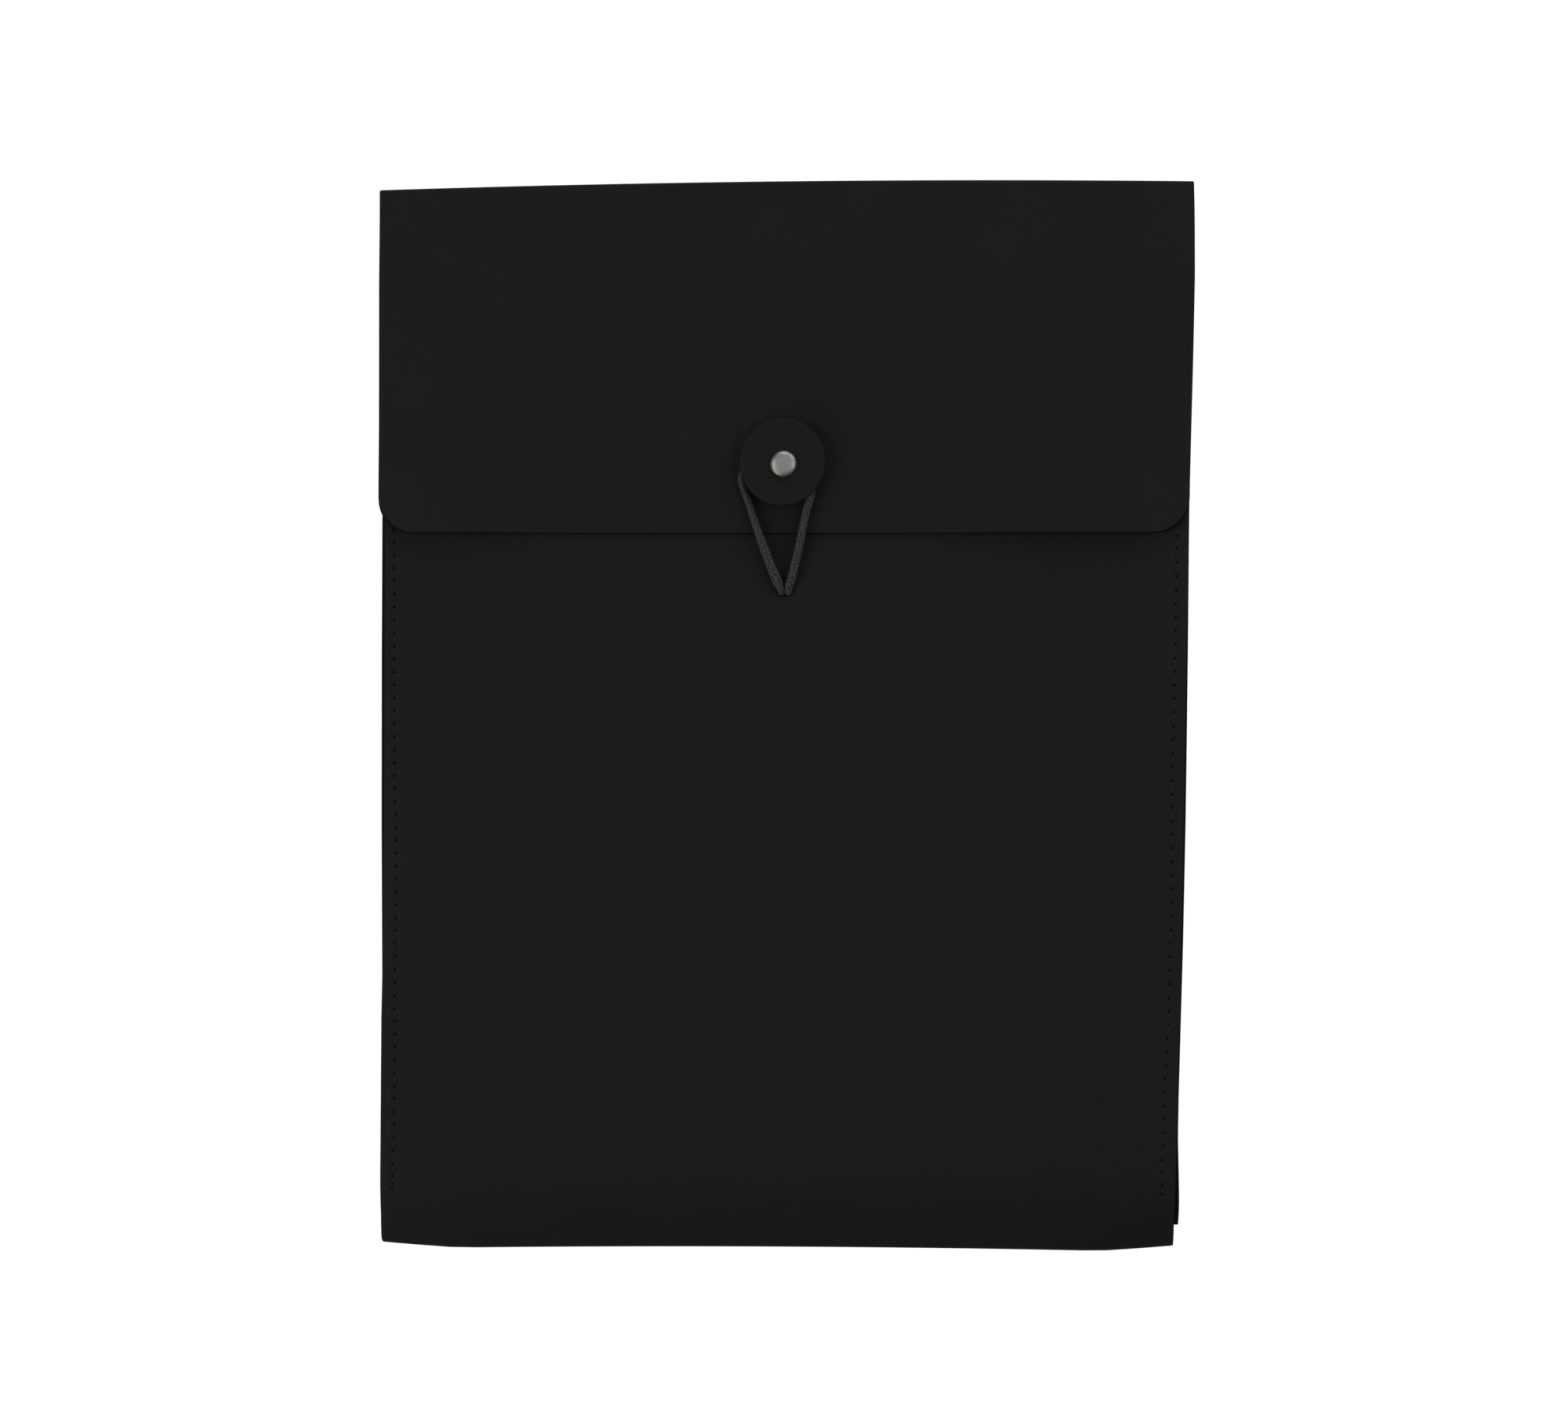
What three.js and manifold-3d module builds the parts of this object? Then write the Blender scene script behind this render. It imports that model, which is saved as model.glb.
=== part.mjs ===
// Document wallet: one folded sheet makes the back, the bottom wrap, the front, the spine and the flap.
// A folded gusset joins front and back on each side. An elastic loop hooks round a riveted button.
// Millimetres. X runs across the wallet, Y up to the folded top edge, Z up from the table.
// The origin is the middle of the wallet's outline, on the table.

import * as THREE from "three";
import { mergeVertices } from "three/addons/utils/BufferGeometryUtils.js";
import Module from "manifold-3d";

// Sheet and pocket
const BODY_WIDTH = 241;
const BODY_HEIGHT = 320;
const SHEET_THICKNESS = 1.2;
const POCKET_THICKNESS = 13; // outer face of the back to outer face of the front
const MOUTH_SETBACK = 2.8; // from the spine's inner face down to the mouth edge of the front
const FRONT_CURVE_LENGTH = 26; // the front starts to dip this far above the bottom edge
const BOTTOM_NOSE_RADIUS = 4;
const CORNER_PINCH = 1.8; // the bottom edge draws in this much at each corner
const CORNER_PINCH_LENGTH = 20;

// Flap
const FLAP_LENGTH = 105;
const FLAP_CORNER_RADIUS = 11;
const FLAP_SIDE_SHIFT = 0.75; // the flap sits this much to the left of the body

// Gussets and seams
const GUSSET_DEPTH = 14.5; // from the side edge in to the middle fold, which leaves 212 mm for A4 sheets
const GUSSET_THICKNESS = 0.9;
const GUSSET_FLANGE_WIDTH = 5.5;
const GUSSET_BOTTOM_SETBACK = 7.5; // above the bottom edge
const THREAD_WIDTH = 0.7;
const THREAD_THICKNESS = 0.45;
const SEAM_INSET = 3.4;
const SEAM_MOUTH_SETBACK = 4;
const SEAM_BOTTOM_SETBACK = 16.5; // above the bottom edge

// Button and rivet
const BUTTON_ABOVE_FLAP_EDGE = 21.8;
const BUTTON_OFFSET_X = -0.4;
const BUTTON_DIAMETER = 25.2;
const BUTTON_THICKNESS = 1.9;
const BUTTON_EDGE_ROUND = 0.5;
const SPACER_DIAMETER = 9;
const RIVET_CAP_DIAMETER = 8.2;
const RIVET_CAP_RIM = 0.5;
const RIVET_CAP_DOME = 1.2; // height of the dome above its rim
const RIVET_SHAFT_DIAMETER = 3;
const RIVET_SHAFT_ENGAGEMENT = 0.6; // how far the shaft reaches into the cap
const RIVET_BASE_DIAMETER = 9;
const RIVET_BASE_THICKNESS = 0.9;

// Elastic loop
const ELASTIC_DIAMETER = 2.6;
const ANCHOR_BELOW_FLAP_EDGE = 17.7;
const ANCHOR_OFFSET_X = 0.3;
const KNOT_WIDTH = 7;
const KNOT_LENGTH = 6;
const KNOT_HEIGHT = 4.2;

// Clearance between pieces that touch on the real wallet
const SEAT_GAP = 0.2;

// Facets
const FRONT_CURVE_STEPS = 8;
const NOSE_STEPS = 14;
const CORNER_STEPS = 8;
const ROUND_SIDES = 48;
const SMALL_ROUND_SIDES = 32;
const DOME_STEPS = 6;
const ELASTIC_SIDES = 8;
const ELASTIC_STEPS = 72;

// Derived places
const TOP_EDGE_Y = BODY_HEIGHT / 2;
const BOTTOM_EDGE_Y = -BODY_HEIGHT / 2;
const BODY_X = FLAP_SIDE_SHIFT / 2;
const FLAP_X = -FLAP_SIDE_SHIFT / 2;
const MOUTH_Y = TOP_EDGE_Y - SHEET_THICKNESS - MOUTH_SETBACK;
const FRONT_INNER_Z = POCKET_THICKNESS - SHEET_THICKNESS;
const FLAP_LIFT = RIVET_BASE_THICKNESS + 2 * SEAT_GAP;
const FLAP_UNDER_Z = POCKET_THICKNESS + FLAP_LIFT;
const FLAP_TOP_Z = FLAP_UNDER_Z + SHEET_THICKNESS;
const SPACER_HEIGHT = ELASTIC_DIAMETER + 2 * SEAT_GAP;
const SPACER_Z = FLAP_TOP_Z + SEAT_GAP;
const BUTTON_Z = SPACER_Z + SPACER_HEIGHT + SEAT_GAP;
const RIVET_CAP_Z = BUTTON_Z + BUTTON_THICKNESS + SEAT_GAP;
const FLAP_EDGE_Y = TOP_EDGE_Y - FLAP_LENGTH;
const BUTTON_Y = FLAP_EDGE_Y + BUTTON_ABOVE_FLAP_EDGE;
const ANCHOR_Y = FLAP_EDGE_Y - ANCHOR_BELOW_FLAP_EDGE;
const SHAFT_CLEAR_RADIUS = RIVET_SHAFT_DIAMETER / 2 + SEAT_GAP;
const SEAM_BOTTOM_Y = BOTTOM_EDGE_Y + SEAM_BOTTOM_SETBACK;
const SEAM_MOUTH_Y = MOUTH_Y - SEAM_MOUTH_SETBACK;

// The side profile of the pocket: the flat front meets a wide arc, which meets the small round nose.
const CURVE_START_Y = BOTTOM_EDGE_Y + FRONT_CURVE_LENGTH;
const NOSE_Y = BOTTOM_EDGE_Y + BOTTOM_NOSE_RADIUS;
const CURVE_DROP = POCKET_THICKNESS - 2 * BOTTOM_NOSE_RADIUS;
const CURVE_ANGLE = 2 * Math.atan(CURVE_DROP / (CURVE_START_Y - NOSE_Y));
const CURVE_RADIUS = BOTTOM_NOSE_RADIUS + (CURVE_START_Y - NOSE_Y) / Math.sin(CURVE_ANGLE);
const CURVE_CENTRE_Z = POCKET_THICKNESS - CURVE_RADIUS;

// Finishes
const LEATHERETTE = { color: 0x1c1c1c, roughness: 0.62, metalness: 0 };
const GUSSET_LEATHERETTE = { color: 0x171717, roughness: 0.7, metalness: 0 };
const THREAD = { color: 0x2b2b2b, roughness: 0.6, metalness: 0 };
const ELASTIC = { color: 0x3a3a3a, roughness: 0.8, metalness: 0 };
const NICKEL_STEEL = { color: 0xb9b9ba, roughness: 0.18, metalness: 1 };

const wasm = await Module();
wasm.setup();

const wallet = new THREE.Group();

function addPiece(name, geometry, finish) {
  const mesh = new THREE.Mesh(geometry, new THREE.MeshStandardMaterial(finish));
  mesh.name = name;
  wallet.add(mesh);
}

function toSolid(geometry) {
  const plain = geometry.clone();
  plain.deleteAttribute("normal");
  plain.deleteAttribute("uv");
  const merged = mergeVertices(plain, 1e-4);
  const vertProperties = Float32Array.from(merged.attributes.position.array);
  const triVerts = Uint32Array.from(merged.index.array);
  return new wasm.Manifold(new wasm.Mesh({ numProp: 3, vertProperties, triVerts }));
}

function toGeometry(solid) {
  const mesh = solid.getMesh();
  const geometry = new THREE.BufferGeometry();
  geometry.setAttribute("position", new THREE.BufferAttribute(mesh.vertProperties, 3));
  geometry.setIndex(new THREE.BufferAttribute(mesh.triVerts, 1));
  geometry.computeVertexNormals();
  return geometry;
}

function arc(centreX, centreY, radius, from, to, steps) {
  const points = [];
  for (let i = 0; i <= steps; i += 1) {
    const angle = from + ((to - from) * i) / steps;
    points.push(
      new THREE.Vector2(centreX + radius * Math.cos(angle), centreY + radius * Math.sin(angle)),
    );
  }
  return points;
}

// Extrudes an outline drawn in Y and Z across the wallet, from x0 to x1.
function acrossWallet(outline, x0, x1) {
  const shape = new THREE.Shape(outline);
  const geometry = new THREE.ExtrudeGeometry(shape, { depth: x1 - x0, bevelEnabled: false });
  const toWallet = new THREE.Matrix4().makeBasis(
    new THREE.Vector3(0, 1, 0),
    new THREE.Vector3(0, 0, 1),
    new THREE.Vector3(1, 0, 0),
  );
  return geometry.applyMatrix4(toWallet).translate(x0, 0, 0);
}

// Joins rings of equal point counts into one closed body with flat ends.
function loft(rings, outline) {
  const count = outline.length;
  const positions = rings.flat().flatMap((p) => [p.x, p.y, p.z]);
  const faces = [];
  for (let ring = 0; ring + 1 < rings.length; ring += 1) {
    for (let i = 0; i < count; i += 1) {
      const next = (i + 1) % count;
      const a = ring * count + i;
      const b = ring * count + next;
      faces.push(a, b, b + count, a, b + count, a + count);
    }
  }
  const last = (rings.length - 1) * count;
  const turnedRound = THREE.ShapeUtils.isClockWise(outline);
  for (const [a, b, c] of THREE.ShapeUtils.triangulateShape(outline, [])) {
    const [p, q] = turnedRound ? [c, b] : [b, c];
    faces.push(a, q, p, last + a, last + p, last + q);
  }
  const geometry = new THREE.BufferGeometry();
  geometry.setAttribute("position", new THREE.Float32BufferAttribute(positions, 3));
  geometry.setIndex(faces);
  return facingOut(geometry);
}

// Turns the faces round where the body was built inside out.
function facingOut(geometry) {
  const at = geometry.attributes.position;
  const index = geometry.index.array;
  const [a, b, c] = [new THREE.Vector3(), new THREE.Vector3(), new THREE.Vector3()];
  let volume = 0;
  for (let i = 0; i < index.length; i += 3) {
    a.fromBufferAttribute(at, index[i]);
    b.fromBufferAttribute(at, index[i + 1]);
    c.fromBufferAttribute(at, index[i + 2]);
    volume += a.dot(b.cross(c));
  }
  if (volume < 0) {
    for (let i = 0; i < index.length; i += 3) {
      [index[i + 1], index[i + 2]] = [index[i + 2], index[i + 1]];
    }
  }
  geometry.computeVertexNormals();
  return geometry;
}

// A turned piece: the profile lists radius and height, and it stands at (x, y) with its axis along Z.
function turned(profile, sides, x, y) {
  const points = profile.map(([radius, z]) => new THREE.Vector2(radius, z));
  const geometry = new THREE.LatheGeometry(points, sides);
  return geometry.rotateX(Math.PI / 2).translate(x, y, 0);
}

// Height of the front panel's inner face above a place Y, dipping over the bottom curve.
function frontInnerHeight(y) {
  const along = Math.min(0, y - CURVE_START_Y);
  const radius = CURVE_RADIUS - SHEET_THICKNESS;
  return CURVE_CENTRE_Z + Math.sqrt(radius * radius - along * along);
}

// A layer of the front between two depths below its outer face, from topY round the curve by endAngle.
function frontLayer(outerDepth, innerDepth, topY, endAngle) {
  const start = Math.PI / 2;
  const end = start + endAngle;
  const outer = CURVE_RADIUS - outerDepth;
  const inner = CURVE_RADIUS - innerDepth;
  return [
    new THREE.Vector2(topY, POCKET_THICKNESS - outerDepth),
    ...arc(CURVE_START_Y, CURVE_CENTRE_Z, outer, start, end, FRONT_CURVE_STEPS),
    ...arc(CURVE_START_Y, CURVE_CENTRE_Z, inner, end, start, FRONT_CURVE_STEPS),
    new THREE.Vector2(topY, POCKET_THICKNESS - innerDepth),
  ];
}

// A stadium outline: two half circles joined by straight sides, long along X.
function stadium(length, width, x, y) {
  const reach = (length - width) / 2;
  const quarter = Math.PI / 2;
  return [
    ...arc(x + reach, y, width / 2, -quarter, quarter, CORNER_STEPS),
    ...arc(x - reach, y, width / 2, quarter, 3 * quarter, CORNER_STEPS),
  ];
}

function makeBackPanel() {
  const outline = [
    new THREE.Vector2(NOSE_Y + SEAT_GAP, 0),
    new THREE.Vector2(TOP_EDGE_Y, 0),
    new THREE.Vector2(TOP_EDGE_Y, SHEET_THICKNESS),
    new THREE.Vector2(NOSE_Y + SEAT_GAP, SHEET_THICKNESS),
  ];
  addPiece(
    "back_panel",
    acrossWallet(outline, BODY_X - BODY_WIDTH / 2, BODY_X + BODY_WIDTH / 2),
    LEATHERETTE,
  );
}

// The wrap between front and back. Its nose draws in towards both corners, where the seams pull on it.
function makeBottomFold() {
  const gapAngle = SEAT_GAP / (BOTTOM_NOSE_RADIUS - SHEET_THICKNESS);
  const start = Math.PI / 2 + CURVE_ANGLE + gapAngle;
  const end = 1.5 * Math.PI;
  const innerRadius = BOTTOM_NOSE_RADIUS - SHEET_THICKNESS;
  const outline = [
    ...arc(0, 0, BOTTOM_NOSE_RADIUS, start, end, NOSE_STEPS),
    ...arc(0, 0, innerRadius, end, start, NOSE_STEPS),
  ];
  const halfWidth = BODY_WIDTH / 2;
  const pinchStart = halfWidth - CORNER_PINCH_LENGTH;
  const rings = [];
  const across = [-1, -0.7, -0.35, 0, 0, 0.35, 0.7, 1];
  across.forEach((share, i) => {
    const side = i < across.length / 2 ? -1 : 1;
    const x = BODY_X + side * pinchStart + share * CORNER_PINCH_LENGTH;
    const draw = CORNER_PINCH * share * share;
    rings.push(
      outline.map((p, k) => {
        const towardTip = Math.sin((Math.PI * (k % (NOSE_STEPS + 1))) / NOSE_STEPS);
        const y = NOSE_Y + p.x + draw * towardTip;
        return new THREE.Vector3(x, y, BOTTOM_NOSE_RADIUS + p.y);
      }),
    );
  });
  addPiece("bottom_fold", loft(rings, outline), LEATHERETTE);
}

function makeFrontPanel() {
  const outline = frontLayer(0, SHEET_THICKNESS, MOUTH_Y, CURVE_ANGLE);
  const sheet = acrossWallet(outline, BODY_X - BODY_WIDTH / 2, BODY_X + BODY_WIDTH / 2);
  const holeOutline = stadium(
    2 * ELASTIC_DIAMETER + 2 * SEAT_GAP,
    ELASTIC_DIAMETER + 2 * SEAT_GAP,
    ANCHOR_OFFSET_X,
    ANCHOR_Y,
  );
  const hole = new THREE.ExtrudeGeometry(new THREE.Shape(holeOutline), {
    depth: POCKET_THICKNESS,
    bevelEnabled: false,
  }).translate(0, 0, POCKET_THICKNESS / 2);
  addPiece("front_panel", toGeometry(toSolid(sheet).subtract(toSolid(hole))), LEATHERETTE);
}

// One half of a gusset: a flange under the panel's edge, then a web that slopes in to the middle fold.
// side is 1 on the right and -1 on the left. The front half hangs from the front panel.
function makeGussetHalf(name, side, isFront) {
  const inward = isFront ? -1 : 1;
  const flangeOuterX = BODY_WIDTH / 2;
  const flangeInnerX = flangeOuterX - GUSSET_FLANGE_WIDTH;
  const apexX = flangeOuterX - GUSSET_DEPTH;
  const section = (y) => {
    const frontZ = frontInnerHeight(y);
    const middleZ = (frontZ + SHEET_THICKNESS) / 2;
    const panelFace = isFront ? frontZ - SEAT_GAP : SHEET_THICKNESS + SEAT_GAP;
    const pocketFace = panelFace + inward * GUSSET_THICKNESS;
    const endFace = middleZ - (inward * SEAT_GAP) / 2;
    const run = flangeInnerX - apexX;
    const rise = Math.abs(endFace - panelFace);
    const webWidthX = (GUSSET_THICKNESS * Math.hypot(run, rise)) / rise;
    const innerAtPocketFace = flangeInnerX - (run * GUSSET_THICKNESS) / rise;
    return [
      new THREE.Vector2(flangeOuterX, panelFace),
      new THREE.Vector2(flangeInnerX, panelFace),
      new THREE.Vector2(apexX, endFace),
      new THREE.Vector2(apexX + webWidthX, endFace),
      new THREE.Vector2(innerAtPocketFace + webWidthX, pocketFace),
      new THREE.Vector2(flangeOuterX, pocketFace),
    ];
  };
  const bottomY = BOTTOM_EDGE_Y + GUSSET_BOTTOM_SETBACK;
  const stations = [];
  for (let i = 0; i <= FRONT_CURVE_STEPS; i += 1) {
    stations.push(bottomY + ((CURVE_START_Y - bottomY) * i) / FRONT_CURVE_STEPS);
  }
  stations.push(MOUTH_Y);
  const rings = stations.map((y) =>
    section(y).map((p) => new THREE.Vector3(BODY_X + side * p.x, y, p.y)),
  );
  addPiece(name, loft(rings, section(MOUTH_Y)), GUSSET_LEATHERETTE);
}

// A seam thread lies along its stitch line, on the outer face of the front.
function makeFrontSeamThread(name, side) {
  const endAngle = Math.asin((CURVE_START_Y - SEAM_BOTTOM_Y) / CURVE_RADIUS);
  const outline = frontLayer(-SEAT_GAP - THREAD_THICKNESS, -SEAT_GAP, SEAM_MOUTH_Y, endAngle);
  const x = BODY_X + side * (BODY_WIDTH / 2 - SEAM_INSET);
  addPiece(name, acrossWallet(outline, x - THREAD_WIDTH / 2, x + THREAD_WIDTH / 2), THREAD);
}

// The back seams' thread lies on the pocket face of the gusset's back flange.
function makeBackSeamThread(name, side) {
  const z0 = SHEET_THICKNESS + SEAT_GAP + GUSSET_THICKNESS + SEAT_GAP;
  const z1 = z0 + THREAD_THICKNESS;
  const outline = [
    new THREE.Vector2(SEAM_BOTTOM_Y, z0),
    new THREE.Vector2(SEAM_MOUTH_Y, z0),
    new THREE.Vector2(SEAM_MOUTH_Y, z1),
    new THREE.Vector2(SEAM_BOTTOM_Y, z1),
  ];
  const x = BODY_X + side * (BODY_WIDTH / 2 - SEAM_INSET);
  addPiece(name, acrossWallet(outline, x - THREAD_WIDTH / 2, x + THREAD_WIDTH / 2), THREAD);
}

// The strip between the two top creases. It stands on the back panel's top edge.
function makeSpine() {
  const z0 = SHEET_THICKNESS + SEAT_GAP;
  const z1 = FLAP_UNDER_Z - SEAT_GAP;
  const outline = [
    new THREE.Vector2(TOP_EDGE_Y - SHEET_THICKNESS, z0),
    new THREE.Vector2(TOP_EDGE_Y, z0),
    new THREE.Vector2(TOP_EDGE_Y, z1),
    new THREE.Vector2(TOP_EDGE_Y - SHEET_THICKNESS, z1),
  ];
  addPiece("spine", acrossWallet(outline, -BODY_WIDTH / 2, BODY_WIDTH / 2), LEATHERETTE);
}

function makeFlap() {
  const left = FLAP_X - BODY_WIDTH / 2;
  const right = FLAP_X + BODY_WIDTH / 2;
  const r = FLAP_CORNER_RADIUS;
  const quarter = Math.PI / 2;
  const shape = new THREE.Shape([
    new THREE.Vector2(right, TOP_EDGE_Y),
    new THREE.Vector2(left, TOP_EDGE_Y),
    ...arc(left + r, FLAP_EDGE_Y + r, r, 2 * quarter, 3 * quarter, CORNER_STEPS),
    ...arc(right - r, FLAP_EDGE_Y + r, r, 3 * quarter, 4 * quarter, CORNER_STEPS),
  ]);
  const hole = arc(BUTTON_OFFSET_X, BUTTON_Y, SHAFT_CLEAR_RADIUS, 0, 2 * Math.PI, SMALL_ROUND_SIDES);
  shape.holes.push(new THREE.Path(hole.slice(0, -1)));
  const sheet = new THREE.ExtrudeGeometry(shape, { depth: SHEET_THICKNESS, bevelEnabled: false });
  addPiece("flap", sheet.translate(0, 0, FLAP_UNDER_Z), LEATHERETTE);
}

// The post that the elastic hooks round, between the flap and the button.
function makeSpacer() {
  const top = SPACER_Z + SPACER_HEIGHT;
  const profile = [
    [SHAFT_CLEAR_RADIUS, SPACER_Z],
    [SPACER_DIAMETER / 2, SPACER_Z],
    [SPACER_DIAMETER / 2, top],
    [SHAFT_CLEAR_RADIUS, top],
    [SHAFT_CLEAR_RADIUS, SPACER_Z],
  ];
  addPiece(
    "button_spacer",
    turned(profile, SMALL_ROUND_SIDES, BUTTON_OFFSET_X, BUTTON_Y),
    LEATHERETTE,
  );
}

function makeButtonDisc() {
  const radius = BUTTON_DIAMETER / 2;
  const top = BUTTON_Z + BUTTON_THICKNESS;
  const edge = BUTTON_EDGE_ROUND;
  const quarter = Math.PI / 2;
  const lower = arc(radius - edge, BUTTON_Z + edge, edge, -quarter, 0, 3);
  const upper = arc(radius - edge, top - edge, edge, 0, quarter, 3);
  const profile = [
    [SHAFT_CLEAR_RADIUS, BUTTON_Z],
    ...lower.map((p) => [p.x, p.y]),
    ...upper.map((p) => [p.x, p.y]),
    [SHAFT_CLEAR_RADIUS, top],
    [SHAFT_CLEAR_RADIUS, BUTTON_Z],
  ];
  addPiece("button_disc", turned(profile, ROUND_SIDES, BUTTON_OFFSET_X, BUTTON_Y), LEATHERETTE);
}

// The base plate lies under the flap, and the shaft passes flap, spacer and button into the cap.
function makeRivetPost() {
  const baseZ = POCKET_THICKNESS + SEAT_GAP;
  const shaftTop = RIVET_CAP_Z + RIVET_SHAFT_ENGAGEMENT;
  const profile = [
    [0, baseZ],
    [RIVET_BASE_DIAMETER / 2, baseZ],
    [RIVET_BASE_DIAMETER / 2, baseZ + RIVET_BASE_THICKNESS],
    [RIVET_SHAFT_DIAMETER / 2, baseZ + RIVET_BASE_THICKNESS],
    [RIVET_SHAFT_DIAMETER / 2, shaftTop],
    [0, shaftTop],
  ];
  addPiece(
    "rivet_post",
    turned(profile, SMALL_ROUND_SIDES, BUTTON_OFFSET_X, BUTTON_Y),
    NICKEL_STEEL,
  );
}

// A domed cap with a socket for the shaft.
function makeRivetCap() {
  const radius = RIVET_CAP_DIAMETER / 2;
  const rimZ = RIVET_CAP_Z + RIVET_CAP_RIM;
  const socketTop = RIVET_CAP_Z + RIVET_SHAFT_ENGAGEMENT + SEAT_GAP;
  const profile = [
    [0, socketTop],
    [SHAFT_CLEAR_RADIUS, socketTop],
    [SHAFT_CLEAR_RADIUS, RIVET_CAP_Z],
    [radius, RIVET_CAP_Z],
  ];
  for (let i = 0; i <= DOME_STEPS; i += 1) {
    const angle = (Math.PI / 2) * (i / DOME_STEPS);
    profile.push([radius * Math.cos(angle), rimZ + RIVET_CAP_DOME * Math.sin(angle)]);
  }
  profile[profile.length - 1][0] = 0;
  addPiece("rivet_cap", turned(profile, ROUND_SIDES, BUTTON_OFFSET_X, BUTTON_Y), NICKEL_STEEL);
}

// The loop's route as seen from above, from the anchor hole up the left, over the post and down the right.
// x and y are from the button's axis, and climb runs from 0 on the front panel to 1 on top of the flap.
const LOOP_ROUTE = [
  [-0.7, -39.5, 0],
  [-2.3, -35.5, 0.35],
  [-4.1, -30.0, 0.75],
  [-6.1, -24.2, 1],
  [-8.7, -16.5, 1],
  [-11.0, -9.6, 1],
  [-12.2, -4.6, 1],
  [-12.0, -0.8, 1],
  [-10.1, 2.9, 1],
  [-6.3, 5.4, 1],
  [-1.0, 6.2, 1],
  [4.4, 5.7, 1],
  [8.4, 3.4, 1],
  [10.3, -0.6, 1],
  [10.3, -5.0, 1],
  [9.1, -9.6, 1],
  [7.1, -15.4, 1],
  [5.4, -24.2, 1],
  [4.2, -30.0, 0.75],
  [3.2, -35.5, 0.35],
  [2.1, -39.5, 0],
];

function makeElasticLoop() {
  const radius = ELASTIC_DIAMETER / 2;
  const lowZ = POCKET_THICKNESS + SEAT_GAP + radius;
  const highZ = FLAP_TOP_Z + SEAT_GAP + radius;
  const points = LOOP_ROUTE.map(([x, y, climb]) => {
    const z = lowZ + (highZ - lowZ) * climb;
    return new THREE.Vector3(BUTTON_OFFSET_X + x, BUTTON_Y + y, z);
  });
  const path = new THREE.CatmullRomCurve3(points, false, "centripetal");
  const section = arc(0, 0, radius, 0, 2 * Math.PI, ELASTIC_SIDES).slice(0, -1);
  const geometry = new THREE.ExtrudeGeometry(new THREE.Shape(section), {
    steps: ELASTIC_STEPS,
    extrudePath: path,
    bevelEnabled: false,
  });
  addPiece("elastic_loop", geometry, ELASTIC);
}

// The loop's two ends pass down through the front panel and are knotted inside the pocket.
function makeLoopKnot() {
  const stemOutline = stadium(2 * ELASTIC_DIAMETER, ELASTIC_DIAMETER, ANCHOR_OFFSET_X, ANCHOR_Y);
  const knotTop = FRONT_INNER_Z - SEAT_GAP;
  const knotCentreZ = knotTop - KNOT_HEIGHT / 2;
  const stem = new THREE.ExtrudeGeometry(new THREE.Shape(stemOutline), {
    depth: POCKET_THICKNESS - knotCentreZ,
    bevelEnabled: false,
  }).translate(0, 0, knotCentreZ);
  const knot = new THREE.SphereGeometry(0.5, 20, 12);
  knot.scale(KNOT_WIDTH, KNOT_LENGTH, KNOT_HEIGHT).translate(ANCHOR_OFFSET_X, ANCHOR_Y, knotCentreZ);
  addPiece("loop_knot", toGeometry(toSolid(stem).add(toSolid(knot))), ELASTIC);
}

makeBackPanel();
makeBottomFold();
makeFrontPanel();
makeSpine();
makeFlap();
for (const [sideName, side] of [["left", -1], ["right", 1]]) {
  makeGussetHalf(`${sideName}_gusset_front_half`, side, true);
  makeGussetHalf(`${sideName}_gusset_back_half`, side, false);
  makeFrontSeamThread(`${sideName}_front_seam_thread`, side);
  makeBackSeamThread(`${sideName}_back_seam_thread`, side);
}
makeSpacer();
makeButtonDisc();
makeRivetPost();
makeRivetCap();
makeElasticLoop();
makeLoopKnot();

export default wallet;
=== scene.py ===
"""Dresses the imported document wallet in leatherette, thread, braided elastic and nickel plate.

Every length in the classes is in millimetres and is turned to metres where a mesh is made. X runs
across the wallet, Y up to the folded top edge and Z up from the table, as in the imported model.
"""

import logging  # noqa: E402
import math  # noqa: E402
from collections.abc import Callable, Iterable, Sequence  # noqa: E402
from dataclasses import dataclass, field  # noqa: E402
from enum import Enum  # noqa: E402

import bmesh  # noqa: E402
import bpy  # noqa: E402
import numpy as np  # noqa: E402
from mathutils import Matrix  # noqa: E402


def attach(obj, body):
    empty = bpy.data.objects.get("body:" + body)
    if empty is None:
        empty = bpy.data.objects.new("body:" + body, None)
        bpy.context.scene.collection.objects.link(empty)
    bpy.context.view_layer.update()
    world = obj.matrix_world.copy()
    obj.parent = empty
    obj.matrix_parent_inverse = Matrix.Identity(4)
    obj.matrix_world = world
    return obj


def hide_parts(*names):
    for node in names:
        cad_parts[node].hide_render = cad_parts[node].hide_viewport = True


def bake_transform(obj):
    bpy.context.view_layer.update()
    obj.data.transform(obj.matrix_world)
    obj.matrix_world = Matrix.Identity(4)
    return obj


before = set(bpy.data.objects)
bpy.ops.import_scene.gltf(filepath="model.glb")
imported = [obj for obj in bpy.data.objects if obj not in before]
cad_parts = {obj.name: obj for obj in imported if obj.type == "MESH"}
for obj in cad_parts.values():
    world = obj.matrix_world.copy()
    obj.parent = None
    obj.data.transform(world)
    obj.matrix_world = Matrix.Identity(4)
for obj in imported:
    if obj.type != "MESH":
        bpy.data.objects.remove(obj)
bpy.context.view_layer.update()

LOG = logging.getLogger("document_wallet")
MM = 0.001
BRAID_RELIEF = "relief"

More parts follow.
